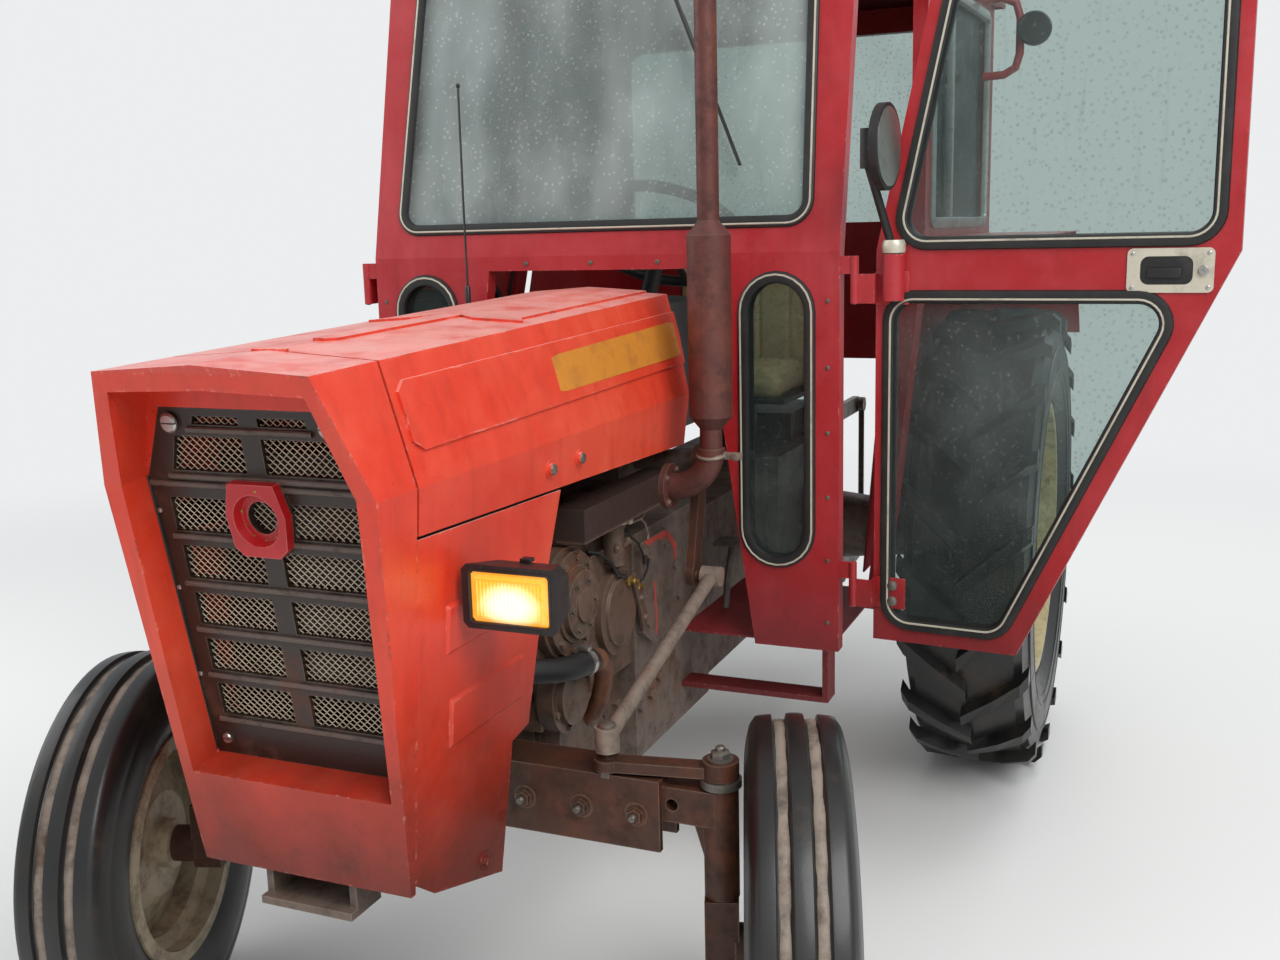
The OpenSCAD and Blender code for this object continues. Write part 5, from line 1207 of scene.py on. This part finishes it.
@dataclass
class Wheels(Assembly):
    """Finer front tyres, mud in their grooves, rings on the rear tyres, wheel nuts, hubs and valves."""

    wall_thick: float = 20.0
    tread_thick: float = 28.0

    def front_tyre(self, side: Side) -> None:
        """Replaces a front tyre by a finely turned one with three ribs and two deep grooves."""
        h = FRONT_R - FRONT_RIM_R
        w = FRONT_W / 2
        bead = FRONT_RIM_R + 0.3
        wall = ((0.78, 0.0), (0.775, 0.07), (0.79, 0.13), (0.86, 0.2), (0.95, 0.31), (0.985, 0.4), (1.0, 0.5),
                (0.997, 0.58), (0.975, 0.68), (0.955, 0.7), (0.965, 0.72), (0.93, 0.8), (0.9, 0.86), (0.86, 0.9),
                (0.82, 0.925), (0.78, 0.957), (0.7, 0.966), (0.52, 0.976), (0.465, 0.976), (0.45, 0.965),
                (0.44, 0.93), (0.38, 0.912), (0.24, 0.912), (0.185, 0.935), (0.17, 0.975), (0.155, 0.987),
                (0.06, 0.993))
        outer = [(bead + up * (h - 0.3), share * w) for share, up in wall]
        section = outer + [(r, -y) for r, y in reversed(outer)]
        foot, crown = (w - self.wall_thick) * 0.78, (w - self.wall_thick) * 0.8
        section += [(bead, -foot), (FRONT_R - self.tread_thick, -crown), (FRONT_R - self.wall_thick, 0),
                    (FRONT_R - self.tread_thick, crown), (bead, foot)]
        turns = [[(r * a, y, r * b) for r, y in section] for a, b in circle(1.0, 96)]
        tyre = Solid(front_wheel_place(side)).rings(turns, loop=True)
        piece = tyre.make(f"turned_tyre_front_{side.word}", "tyre_rubber", self.finishes.tyre,
                          f"wheel_front_{side.word}", 50)
        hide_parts(f"tyre_front_{side.word}")
        self.groove_mud(side)

    def groove_mud(self, side: Side) -> None:
        """Packs dried mud into the grooves of a front tyre, in uneven lumps."""
        mud = Solid(front_wheel_place(side))
        w, h = FRONT_W / 2, FRONT_R - FRONT_RIM_R
        sides = 120
        for sign in (-1, 1):
            rows = []
            for i in range(sides):
                a = math.tau * i / sides
                high = 0.92 + 0.01 * math.sin(a * 9 + sign) * math.sin(a * 23) + 0.008 * random.random()
                ring = [(0.18, 0.905), (0.22, high), (0.31, high + 0.008), (0.4, high), (0.445, 0.905)]
                heights = [(share, FRONT_RIM_R + up * h) for share, up in ring]
                rows.append([(r * math.cos(a), sign * share * w, r * math.sin(a)) for share, r in heights])
            mud.rings(rows, loop=True)
        mud.make(f"groove_mud_{side.word}", "tyre_rubber", self.finishes.mud, f"wheel_front_{side.word}", 60)

    def front_hub(self, side: Side) -> None:
        """Adds the studs in a front wheel's nuts, its cap's seam and grease nipple, and the valve."""
        place = front_wheel_place(side)
        cap = Solid(place).lathe((0, 39.5, 0), LEFT, [(41, 6), (47.5, 6), (47.5, 9), (45, 11), (41, 11)], 40)
        cap.lathe((0, -15.7, 0), LEFT, [(46, 0), (62, 0), (60, 6), (46, 8)], 40)
        cap.make(f"front_hub_{side.word}", "front_rim_paint", self.finishes.front_rim, f"wheel_front_{side.word}")
        nuts = Solid(place)
        for x, z in circle(76, 6):
            nuts.collar((x, -15.7, z), LEFT, 11, 15, 2.6, 20)
            nuts.lathe((x, -4, z), LEFT, [(0, -1), (5.4, -1), (5.4, 5), (4, 7), (0, 7)], 14)
        nuts.lathe((0, 67.6, 0), LEFT, [(0, 0), (5, 0), (5, 3), (2.6, 4), (3.4, 8), (0, 10)], 12)
        nuts.tube([(148, -12, 20), (156, 4, 22), (163, 26, 24)], 3.2, 8)
        nuts.make(f"front_nuts_{side.word}", "shaft_steel", self.finishes.steel, f"wheel_front_{side.word}")

    def rear_hub(self, side: Side) -> None:
        """Adds the studs, the cap's rim, the rim lugs and the valve of a rear wheel."""
        place = rear_wheel_place(side)
        body = f"wheel_rear_{side.word}"
        cap = Solid(place).lathe((0, -21, 0), LEFT, [(84, 0), (92, 0), (92, 4), (84, 7)], 40)
        for x, z in circle(262, 8, 0.5):
            cap.lathe((x, 14, z), LEFT, [(0, -18), (26, -18), (25, 0), (16, 6), (0, 7)], 20)
        cap.make(f"rear_hub_{side.word}", "rear_rim_paint", self.finishes.rear_rim, body)
        nuts = Solid(place)
        for x, z in circle(138, 8):
            nuts.collar((x, -39.7, z), LEFT, 15, 20, 3, 20)
            nuts.lathe((x, -25, z), LEFT, [(0, -1), (8, -1), (8, 8), (6, 10), (0, 10)], 14)
        nuts.tube([(300, 20, 30), (312, 34, 32), (316, 60, 33)], 4, 8)
        nuts.make(f"rear_nuts_{side.word}", "shaft_steel", self.finishes.steel, body)

    def rear_wall(self, side: Side) -> None:
        """Adds the raised rings on a rear tyre's outer and inner wall."""
        rings = Solid(rear_wheel_place(side))
        half = (REAR_W - 4) / 2
        h = REAR_R - self.tread_thick - REAR_RIM_R
        for face in (-1, 1):
            for share, up, size in ((0.8, 0.16, 4.0), (0.955, 0.33, 3.0), (0.985, 0.42, 2.4), (0.975, 0.7, 3.2)):
                path = [(a, face * half * share, b) for a, b in circle(REAR_RIM_R + up * h, 96)]
                rings.sweep(path, circle(size, 6), loop=True, up=LEFT)
        rings.make(f"tyre_rings_rear_{side.word}", "tyre_rubber", self.finishes.rear_tyre, f"wheel_rear_{side.word}")

    def build(self) -> None:
        """Dresses the four wheels."""
        for side in Side:
            self.front_tyre(side)
            self.front_hub(side)
            self.rear_hub(side)
            self.rear_wall(side)


@dataclass
class Nose(Assembly):
    """Screws, badge studs and net of the grille, and the plates, bolt heads and rubber of nose and bonnet."""

    brow_x: float = 509.0
    ridge_x: float = 456.0
    ridge_z: float = 1166.0
    low_z: float = 576.0
    seam_x: float = 362.0
    brow_z: float = 1331.0
    rise: float = 34.0
    length: float = 1040.0
    top_hw: float = 173.0
    ridge_hw: float = 224.0
    low_hw: float = 182.0
    rake: float = math.radians(9.0)
    inset: float = 52.0
    press: float = 4.0

    def grille_place(self) -> Matrix:
        """Frame of the grille's plane: its face at X 0, Z the height at the ridge."""
        lift = Matrix.Translation((self.ridge_x - self.inset, 0, self.ridge_z)) @ Matrix.Rotation(self.rake, 4, "Y")
        return TRACTOR @ lift @ Matrix.Translation((0, 0, -self.ridge_z))

    def half_width(self, z: float, x: float = 509.0, out: float = 0.0) -> float:
        """Half width of nose and bonnet.

        Args:
            z: Height.
            x: Distance along the tractor, on which the upper edge's height depends.
            out: Distance outside the panel's face.
        """
        if z > self.ridge_z:
            share = (z - self.ridge_z) / (self.top(x) + out - self.ridge_z)
            return self.ridge_hw + out - share * (self.ridge_hw - self.top_hw)
        return self.low_hw + out + (z - self.low_z) * (self.ridge_hw - self.low_hw) / (self.ridge_z - self.low_z)

    def top(self, x: float) -> float:
        """Height of the bonnet's upper edge at a distance along it."""
        return self.brow_z + (self.brow_x - x) * self.rise / (self.length + self.brow_x - self.seam_x)

    def screws(self) -> None:
        """Slots the grille's big screws and sets the small ones round it."""
        heads = Solid(self.grille_place())
        for side in (-1, 1):
            for y, z, r, lift in ((131, 1253, 13.0, 6), (148, 756, 7.6, 4)):
                for half in (-1, 1):
                    ring = [(a, half * (1.2 + 0.94 * b)) for a, b in half_circle(r, 12)]
                    heads.rings([[(lift + up, side * y + a * share, z + b * share) for a, b in ring]
                                 for up, share in ((-0.5, 1.0), (1.6, 0.86))])
            for z in (860, 1000, 1120):
                heads.screw((0.2, side * (172 + (z - 760) * 0.035), z), AHEAD, 4)
        heads.make("grille_screws", "shaft_steel", self.finishes.bright)

    def badge_studs(self) -> None:
        """Sets the small brass studs in the badge holder's dish."""
        studs = Solid(self.grille_place())
        for y, z in arc(33, [math.radians(200 + 35 * k) for k in range(5)]):
            studs.lathe((5.9, y, 1122 + z), AHEAD, [(0, 0), (2, 0), (1.6, 1.4), (0, 1.8)], 10)
        for y in (-33, 33):
            studs.lathe((5.9, y, 1131), AHEAD, [(0, 0), (3, 0), (3, 1.5), (0, 3)], 12)
        studs.lathe((19.9, 8, 1166), AHEAD, [(0, 0), (2.2, 0), (1.5, 1.2), (0, 1.4)], 10)
        studs.make("badge_studs", "shaft_steel", self.finishes.brass)

    def net(self) -> None:
        """Stretches expanded metal behind the grille: rows of tilted strands that meet in diamonds."""
        net = Solid(self.grille_place())
        step, high, foot, head = 6.2, 5.6, 788.0, 1272.0
        swing = high / 2 - 0.3
        section = [(-0.75, -0.55), (0.75, 0.15), (0.75, 0.55), (-0.75, -0.15)]
        for row in range(math.ceil((head - foot) / high)):
            z = foot + row * high
            half = 168 - max(0.0, z - self.ridge_z) * 0.34
            count = int(half / step)
            path = [(-7.0, k * step, z + (swing if (k + row) % 2 else -swing)) for k in range(-count, count + 1)]
            net.sweep(path, section, up=AHEAD)
        net.make("grille_net", "shaft_steel", self.finishes.net, angle=20)

    def bonnet_heads(self) -> None:
        """Domes on the bonnet's side bolts."""
        heads = Solid()
        for side in (-1, 1):
            for x in (-30, -139):
                y = side * (self.half_width(1122, x) + 7.8)
                heads.lathe((x, y, 1122), (0, side, 0), [(0, 0), (9.6, 0), (8.6, 2.6), (5, 4.2), (0, 4.8)], 24)
        heads.make("bonnet_bolt_domes", "shaft_steel", self.finishes.steel, "bonnet")

    def plates(self) -> None:
        """Leaves a long blank plate on each side of the bonnet."""
        plate = Solid()
        for side in (-1, 1):
            rows = []
            for k in range(25):
                share = k / 24
                x = -104 - 551 * share
                cut = 3.0 if k in (0, 24) else 0.0
                low, high = 1236 + 8 * share + cut, 1296 + 16 * share - cut
                corners = ((low, -1.5), (high, -1.5), (high, 1.8), (low, 1.8))
                rows.append([(x, side * self.half_width(z, x, self.press + d), z) for z, d in corners])
            plate.rings(rows)
        plate.make("bonnet_blank_plates", "rear_rim_paint", self.finishes.plate, "bonnet")

    def seam_rubber(self) -> None:
        """Lays the rubber round the grille's edge and the strips behind the seam below the bonnet."""
        seals = Solid()
        for side in (-1, 1):
            rows = []
            for x in (352, 200, 60, -20):
                z = 1097.5 - (self.seam_x - x) * 37 / self.length
                y = self.half_width(z) - 10
                rows.append([(x, side * (y + out), z + up) for out, up in ((0, -22), (-4, -22), (-3, 20), (1, 20))])
            seals.rings(rows)
        seals.make("seam_seals", "lamp_black", self.finishes.gasket)
        edge = Solid(self.grille_place())
        for side in (-1, 1):
            edge.tube([(1.6, side * 174.5, 734), (1.6, side * 191.5, 1172)], 2.2, 6)
        edge.make("grille_edge_rubber", "lamp_black", self.finishes.gasket)

    def build(self) -> None:
        """Dresses the nose, the grille and the bonnet."""
        self.screws()
        self.badge_studs()
        self.net()
        self.bonnet_heads()
        self.plates()
        self.seam_rubber()


@dataclass
class EngineBay(Assembly):
    """Hose, wires, clamps, filler and bolts on the open sides of the engine, and the fan before it."""

    side_y: float = 150.0
    cover: Point = (-178.0, 150.0, 855.0)

    def bolts(self) -> None:
        """Bolts along the flanges, washers under the covers' bolts and the bracket behind the round cover."""
        heads = Solid()
        for count, ring, start, out in ((10, 82, 0.25, 184.2), (6, 46, 0, 202.2)):
            for x, z in circle(ring, count, start):
                heads.collar((self.cover[0] + x, out, self.cover[2] - z), LEFT, 6, 9.4, 1.2, 16)
        for x in range(-480, -110, 60):
            heads.bolt((x, -self.side_y, 655), RIGHT, 6)
            heads.bolt((x, -130, 910), RIGHT, 6)
        for x in range(-470, -140, 66):
            heads.bolt((x, 130, 920), LEFT, 6)
        for z in range(460, 890, 70):
            heads.bolt((-515, -158, z), RIGHT, 8)
        heads.make("engine_bolts", "shaft_steel", self.finishes.steel)
        outline = [(-448, 828), (-462, 836), (-484, 822), (-516, 742), (-510, 712), (-494, 716), (-486, 752)]
        bracket = Solid().rings([[(x, y, z) for x, z in outline] for y in (175.0, 181.0)])
        for x, z in ((-466, 818), (-484, 780), (-501, 736)):
            bracket.bolt((x, 181, z), LEFT, 5.5)
        bracket.make("cover_bracket", "engine_metal", self.finishes.engine)

    def filler(self) -> None:
        """Silver rims and clip of the filler cap, and the bail that holds it."""
        x, y = -400.0, 162.0
        rims = Solid()
        rims.lathe((x, y, 0), UP, [(31.2, 951), (33.6, 951), (34.4, 956), (33.6, 960.5), (30, 961.5), (30, 960)], 36)
        rims.lathe((x, y, 0), UP, [(27.2, 977), (29, 976), (29.6, 980), (28.4, 985), (20, 988), (6, 986.5),
                                   (0, 986.5), (0, 984.2), (27.2, 984.2)], 32)
        rims.tube([(x - 26, y + 24, 958), (x - 40, y + 30, 962), (x - 46, y + 26, 972), (x - 34, y + 20, 979)], 2.6, 8)
        rims.block((x - 8, y + 30, 950), (x + 8, y + 40, 962), 1.5)
        rims.make("filler_rims", "shaft_steel", self.finishes.net)
        tag = Solid().block((x - 30, y + 14, 905), (x + 4, y + 26, 912), 1)
        tag.bolt((x - 22, y + 20, 912), UP, 6)
        tag.bolt((x + 18, y + 16, 905), LEFT, 6)
        tag.make("filler_clip", "engine_metal", self.finishes.engine)

    def wires(self) -> None:
        """Pale wires and thin pipes that hang across the engine, and the sensor that they lead to."""
        pale = Solid().tube([(-668, 160, 1034), (-640, 166, 1004), (-600, 169, 974), (-560, 168, 944),
                             (-530, 166, 930), (-490, 164, 931), (-455, 161, 938), (-436, 158, 934)], 3.0, 8)
        pale.tube([(-530, 166, 930), (-548, 168, 915), (-556, 170, 890), (-540, 172, 866)], 2.4, 6)
        pale.tube([(-492, 138, 1000), (-498, 142, 975), (-520, 144, 952), (-552, 142, 946), (-574, 138, 956)], 3.0, 8)
        pale.make("pale_wires", "rear_rim_paint", self.finishes.link)
        dark = Solid().tube([(-420, 160, 925), (-448, 172, 918), (-486, 178, 890), (-504, 180, 862),
                             (-512, 179, 842)], 2.6, 6)
        dark.tube([(-436, 182, 828), (-470, 192, 822), (-500, 190, 836), (-520, 184, 846), (-540, 178, 846)], 2.4, 6)
        dark.tube([(-330, 140, 908), (-348, 156, 902), (-372, 168, 880), (-392, 174, 852), (-424, 178, 838)], 4, 8)
        dark.make("dark_wires", "lamp_black", self.finishes.black)
        plug = [(0, 0), (11, 0), (11, 8), (7, 10), (7, 18), (5, 20), (5, 26), (0, 27)]
        sensor = Solid().lathe((-436, 172, 828), LEFT, plug, 6)
        sensor.lathe((-478, 176, 806), LEFT, [(0, 0), (8, 0), (8, 6), (4, 8), (4, 16), (0, 17)], 12)
        sensor.make("sensors", "shaft_steel", self.finishes.brass)

    def hose(self) -> None:
        """Black hose that comes out behind the left panel, its silver clamp and the rusty elbow below."""
        rubber = Solid().tube([(90, 136, 800), (40, 150, 794), (-10, 176, 784), (-60, 204, 772), (-110, 216, 764),
                               (-168, 218, 757)], 21, 20)
        rubber.make("hose", "lamp_black", self.finishes.gasket)
        clamp = Solid().collar((-140, 217, 760.4), (-58, 2, -7), 21.2, 23.4, 13, 32)
        clamp.block((-152, 206, 783), (-138, 228, 791), 1.5)
        clamp.make("hose_clamp", "shaft_steel", self.finishes.bright)
        elbow = Solid().tube([(-160, 217, 758), (-188, 218, 752), (-212, 217, 738), (-228, 214, 716),
                              (-238, 206, 688), (-250, 194, 656), (-262, 178, 626), (-270, 152, 606)], 17, 16)
        elbow.collar((-186, 218, 752.5), (-1, 0, -0.22), 17, 20.5, 9, 20)
        elbow.make("hose_elbow", "exhaust_metal", self.finishes.elbow)
        bands = Solid()
        for x, y, z in ((150, 118, 703), (-60, 118, 703), (180, -40, 1130), (-80, -40, 1130)):
            bands.collar((x, y, z), AHEAD, 22.2, 24, 11)
        bands.make("hose_bands", "shaft_steel", self.finishes.bright)

    def smears(self) -> None:
        """Red paint smeared on the clutch cover."""
        marks = Solid()
        for outline in ([(-570, 786), (-577, 790), (-584, 700), (-580, 676), (-573, 676), (-576, 712)],
                        [(-524, 884), (-640, 883), (-650, 872), (-628, 866), (-590, 874), (-540, 872)],
                        [(-652, 880), (-700, 838), (-694, 806), (-682, 812), (-684, 832), (-650, 866)]):
            marks.rings([[(x, y, z) for x, z in outline] for y in (174.2, 174.5)])
        marks.make("red_smears", "gear_grey", self.finishes.chalk)

    def injection(self) -> None:
        """Pump, filter and the thin steel pipes to the head on the right."""
        place = TRACTOR @ mirrored(Side.RIGHT)
        pump = Solid(place).block((-460, 150.3, 770), (-330, 205, 850), 6)
        pump.lathe((-330, 178, 806), AHEAD, [(0, 0), (30, 0), (30, 20), (16, 26), (16, 40), (0, 40)], 24)
        can = [(0, 0), (32, 0), (36, 8), (36, 78), (30, 92), (10, 96), (10, 108), (0, 108)]
        pump.lathe((-470, 172, 860), UP, can, 28)
        pump.make("pump_and_filter", "engine_metal", self.finishes.engine)
        pipes = Solid(place)
        for k in range(4):
            x = -440 + 30 * k
            pipes.tube([(x, 178, 850), (x, 180, 880), (x + 10 + 10 * k, 190 - 4 * k, 915),
                        (x + 20 + 26 * k, 156, 930), (x + 24 + 30 * k, 132, 934)], 3, 6)
        pipes.make("injection_pipes", "shaft_steel", self.finishes.steel)

    def fan(self) -> None:
        """Fan and dynamo in front of the engine."""
        fan = Solid()
        axle_z = 960
        for k in range(4):
            a = math.tau * k / 4 + 0.4
            u = Vector((0, math.cos(a), math.sin(a)))
            w = Vector((0, -math.sin(a), math.cos(a)))
            rows = []
            for r, half, twist in ((30, 20, 9), (90, 42, 12), (150, 50, 10)):
                corners = ((-half, -twist), (half, twist), (half, twist + 2.5), (-half, -twist + 2.5))
                rows.append([Vector((20 + forward, 0, axle_z)) + u * r + w * s for s, forward in corners])
            fan.rings(rows)
        hub = [(0, 0), (16, 0), (16, 60), (44, 60), (46, 66), (46, 76), (30, 84), (0, 86)]
        fan.lathe((-54, 0, axle_z), AHEAD, hub, 28)
        fan.make("fan", "radiator_black", self.finishes.black)
        drum = [(0, 0), (40, 0), (44, 6), (44, 130), (38, 140), (12, 142), (12, 160), (38, 162), (30, 168), (38, 174),
                (0, 176)]
        dynamo = Solid().lathe((-260, -205, 905), AHEAD, drum)
        dynamo.block((-240, -165, 860), (-200, -149, 930), 4)
        dynamo.make("dynamo", "engine_metal", self.finishes.engine)

    def exhaust(self) -> None:
        """Clamp and flange on the exhaust pipe."""
        pipe_x, pipe_y = -551, 310
        clamp = Solid().collar((pipe_x, pipe_y, 1056), UP, 21.2, 25.5, 12, 32)
        clamp.tube([(pipe_x + a, pipe_y + b, 1062 - a * 5 / 27) for a, b in circle(27, 24)], 3.4, 8, loop=True)
        clamp.block((-556, 334, 1054), (-546, 372, 1068), 2)
        clamp.bolt((-546, 360, 1061), AHEAD, 7)
        clamp.make("exhaust_clamp", "front_rim_paint", self.finishes.link)
        flange = Solid().collar((pipe_x, 214.3, 995), LEFT, 26.5, 46, 12)
        for x, z in arc(37, (0.6, 2.2, 3.9, 5.4)):
            flange.bolt((pipe_x + x, 226.3, 995 + z), LEFT, 6)
        flange.make("exhaust_flange", "exhaust_metal", self.finishes.exhaust)

    def build(self) -> None:
        """Fills the engine's open sides."""
        self.bolts()
        self.filler()
        self.wires()
        self.hose()
        self.smears()
        self.injection()
        self.fan()
        self.exhaust()


@dataclass
class Steering(Assembly):
    """Caps, nuts, bolts and clamps on the steering and the front axle."""

    arm: float = 182.0
    back: float = 8.5

    def ball(self, side: Side) -> Vector:
        """Middle of the drag link's front socket as the wheels stand."""
        a = math.radians(side.value * (-90 - self.back)) + STEER
        return Vector((self.arm * math.cos(a), side.value * PIVOT_Y + self.arm * math.sin(a), 704.3))

    def build(self) -> None:
        """Dresses both sides."""
        for side in Side:
            ball = self.ball(side)
            cap = Solid().lathe(ball + Vector((0, 0, 20.3)), UP, [(0, 0), (15, 0), (14, 5), (8, 8), (0, 9)], 20)
            cap.make(f"link_cap_{side.word}", "link_steel", self.finishes.steel, f"drag_link_{side.word}")
            nut = Solid().lathe(ball + Vector((0, 0, -50.6)), DOWN, [(0, 0), (14, 0), (14, 12), (0, 13)], 6)
            pivot = Vector((0, side.value * PIVOT_Y, 682.3))
            nut.collar(pivot, UP, 0, 21, 2.5)
            nut.lathe(pivot, UP, [(0, 2), (16, 2), (16, 12), (13, 14), (0, 14)], 6)
            nut.lathe(pivot, UP, [(0, 13), (8, 13), (8, 20), (6, 22), (0, 22)], 16)
            nut.make(f"knuckle_nuts_{side.word}", "axle_brown", self.finishes.steel, f"knuckle_{side.word}")
            axle = Solid()
            for y in (190, 292, 388):
                axle.bolt((-42.3, side.value * y, 589), BACK, 11)
                axle.lathe((56.3, side.value * y, 589), AHEAD, [(0, -1), (6.5, -1), (6.5, 5), (5, 7), (0, 7)], 14)
            axle.collar((0, side.value * PIVOT_Y, 640), UP, 28.2, 33, 12)
            axle.make(f"axle_bolts_{side.word}", "axle_brown", self.finishes.steel)


@dataclass
class Interior(Assembly):
    """Padded seat, instruments, levers and pedals seen through the glass and the doorway."""

    seat_x: float = -1568.0
    seat_z: float = 1060.3
    dash_x: float = -938.3
    lever_x: float = -1180.0

    def pad(self, name: str, low: Point, high: Point, axis: int, cap: float) -> bpy.types.Object:
        """Makes one pad: a crowned block, swollen by a short cloth simulation, with sewn channels.

        Args:
            name: Name of the piece.
            low: Lowest corner of the room that the pad has.
            high: Highest corner of that room.
            axis: Index of the axis along which the pad is thin.
            cap: Largest move of a point in the simulation.

        Returns:
            The pad.
        """
        flat = [i for i in range(3) if i != axis]
        half = [(high[i] - low[i]) / 2 - 9 for i in flat]
        middle = [(high[i] + low[i]) / 2 for i in flat]
        thick = high[axis] - low[axis]
        base = rounded([(-half[0], -half[1]), (half[0], -half[1]), (half[0], half[1]), (-half[0], half[1])], 34, 6)
        rows = []
        for scale, up in ((0.94, 0.6), (0.985, 6), (1.0, thick * 0.3), (1.0, thick * 0.55), (0.97, thick * 0.72),
                          (0.9, thick * 0.8)):
            ring = []
            for spot in base:
                point = [low[axis] + up] * 3
                for i, centre, shift in zip(flat, middle, spot):
                    point[i] = centre + shift * scale
                ring.append(point)
            rows.append(ring)
        piece = Solid().rings(rows).make(name, "seat_cover", self.finishes.cover, angle=60)
        self.swell(piece, cap)
        self.fit(piece, low, high, axis, flat)
        return piece

    def settled(self, piece: bpy.types.Object) -> None:
        """Keeps a piece's shape as its modifiers leave it and takes them off."""
        view = bpy.context.evaluated_depsgraph_get()
        data = bpy.data.meshes.new_from_object(piece.evaluated_get(view))
        piece.modifiers.clear()
        piece.data = data

    def swell(self, piece: bpy.types.Object, cap: float) -> None:
        """Swells a pad by inner pressure and smooths it; no point moves further than cap."""
        remesh = piece.modifiers.new("remesh", "REMESH")
        remesh.mode = "VOXEL"
        remesh.voxel_size = 0.0065
        self.settled(piece)
        before = [v.co.copy() for v in piece.data.vertices]
        cloth = piece.modifiers.new("cloth", "CLOTH")
        cloth.settings.use_pressure = True
        cloth.settings.uniform_pressure_force = 4.0
        cloth.settings.effector_weights.gravity = 0.0
        cloth.point_cache.frame_start, cloth.point_cache.frame_end = 1, 20
        for number in range(1, 21):
            bpy.context.scene.frame_set(number)
        self.settled(piece)
        for vertex, old in zip(piece.data.vertices, before):
            move = vertex.co - old
            if move.length > cap * MM:
                vertex.co = old + move.normalized() * cap * MM
        bpy.context.scene.frame_set(1)
        smooth = piece.modifiers.new("smooth", "SUBSURF")
        smooth.levels = smooth.render_levels = 1
        self.settled(piece)

    def fit(self, piece: bpy.types.Object, low: Point, high: Point, axis: int, flat: list[int]) -> None:
        """Keeps a pad inside its room, presses the sewn channels and the border seam in, and finishes it."""
        home = TRACTOR.inverted()
        wide = flat[1] if axis == 2 else flat[0]
        for vertex in piece.data.vertices:
            p = home @ vertex.co
            top = (p[axis] - low[axis]) / (high[axis] - low[axis])
            if top > 0.6:
                away = min(abs(p[wide] - (low[wide] + high[wide]) / 2 - k * 86.0) for k in (-1.5, -0.5, 0.5, 1.5))
                p[axis] -= 6.5 * math.exp(-(away / 7.0) ** 2)
            seam = math.exp(-((top - 0.62) / 0.05) ** 2)
            for i in flat:
                centre = (low[i] + high[i]) / 2
                p[i] = centre + (p[i] - centre) * (1 - 0.012 * seam)
            for i in range(3):
                p[i] = min(max(p[i], low[i] + 0.4), high[i] - 0.4)
            vertex.co = TRACTOR @ p
        piece.data.materials.clear()
        piece.data.materials.append(self.finishes.cover)
        piece.data.shade_smooth()

    def seat(self) -> None:
        """Makes the cushion and the back pad, which stand for the plain solid."""
        x, z = self.seat_x, self.seat_z
        cushion = self.pad("seat_pad", (x - 128, -219, z), (x + 199, 219, z + 80), 2, 16)
        back = self.pad("seat_back_pad", (x - 199, -219, z + 4), (x - 131, 219, z + 389), 0, 14)
        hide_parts("seat_cushion")
        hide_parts("seat_cushion")

    def instruments(self) -> None:
        """Dials on the dash, the levers beside the column and the pedals."""
        dials = Solid()
        for y, z, r in ((-110, 1230, 40), (0, 1240, 30), (110, 1230, 40)):
            dials.lathe((self.dash_x, y, z), BACK, [(0, 0), (r, 0), (r + 3, 6), (r - 2, 12), (r - 5, 7), (0, 6)], 36)
        dials.make("dash_dials", "dash_black", self.finishes.black)
        levers = Solid()
        for y, lean, top in ((-110, 40, 1120), (-60, 70, 1090), (150, 30, 1100)):
            levers.tube([(self.lever_x - lean * share, y, z) for share, z in ((0, 861), (0.4, 960), (1, top))], 7, 8)
            levers.lathe((self.lever_x - lean, y, top - 4), UP,
                         [(0, 0), (12, 2), (19, 14), (19, 24), (12, 34), (0, 37)], 20)
        levers.make("gear_levers", "dash_black", self.finishes.black)
        pedals = Solid()
        for y in (-220, -150, 220):
            pedals.tube([(-880, y, 652), (-900, y, 730), (-935, y, 790)], 8, 8)
            pedals.block((-960, y - 35, 788), (-895, y + 35, 798), 3)
        pedals.make("pedals", "dash_black", self.finishes.steel)

    def build(self) -> None:
        """Furnishes the cab."""
        self.seat()
        self.instruments()


@dataclass
class Hitch(Assembly):
    """Pins, housing bolts and the shaft guard of the rear linkage."""

    def build(self) -> None:
        """Adds the small pieces behind."""
        pins = Solid()
        rear = -WHEELBASE - 225
        for y in (-56, 56):
            pins.lathe((rear - 40, 0, 815), (0, 1 if y > 0 else -1, 0), [(0, 40), (15, 40.4), (15, 46), (0, 47)], 20)
        for side in (-1, 1):
            pins.lathe((-WHEELBASE - 70, side * 216, 470), (0, side, 0), [(0, 12), (20, 12), (20, 17), (0, 18)], 20)
        pins.make("hitch_pins", "hitch_steel", self.finishes.bright)
        boss = [(19, 0.3), (74, 0.3), (74, 10), (60, 14), (26, 16), (19, 16)]
        plate = Solid().lathe((rear, 0, 590), BACK, boss, 36)
        for y, z in circle(62, 6):
            plate.bolt((rear - 10, y, 590 + z), BACK, 8)
        for y in (-140, 140):
            for z in (470, 560, 650, 740, 830):
                plate.bolt((rear, y, z), BACK, 9)
        plate.make("rear_housing_bolts", "gear_grey", self.finishes.gear)
        guard = Solid()
        hood = half_circle(95, 16) + half_circle(92, 16)[::-1]
        guard.rings([[(rear - x, y, 600 + z) for y, z in hood] for x in (0.3, 96)])
        guard.make("shaft_guard", "gear_grey", self.finishes.gear)


def main() -> None:
    """Builds the tractor's looks in order."""
    logging.basicConfig(level=logging.INFO, format="%(message)s")
    random.seed(11)
    finishes = Finishes()
    Studio().build()
    dress(finishes)
    for assembly in (Windows, Doors, CabDetails, Lamps, Wheels, Nose, EngineBay, Steering, Interior, Hitch):
        assembly(finishes).build()


if __name__ == "__main__":
    main()
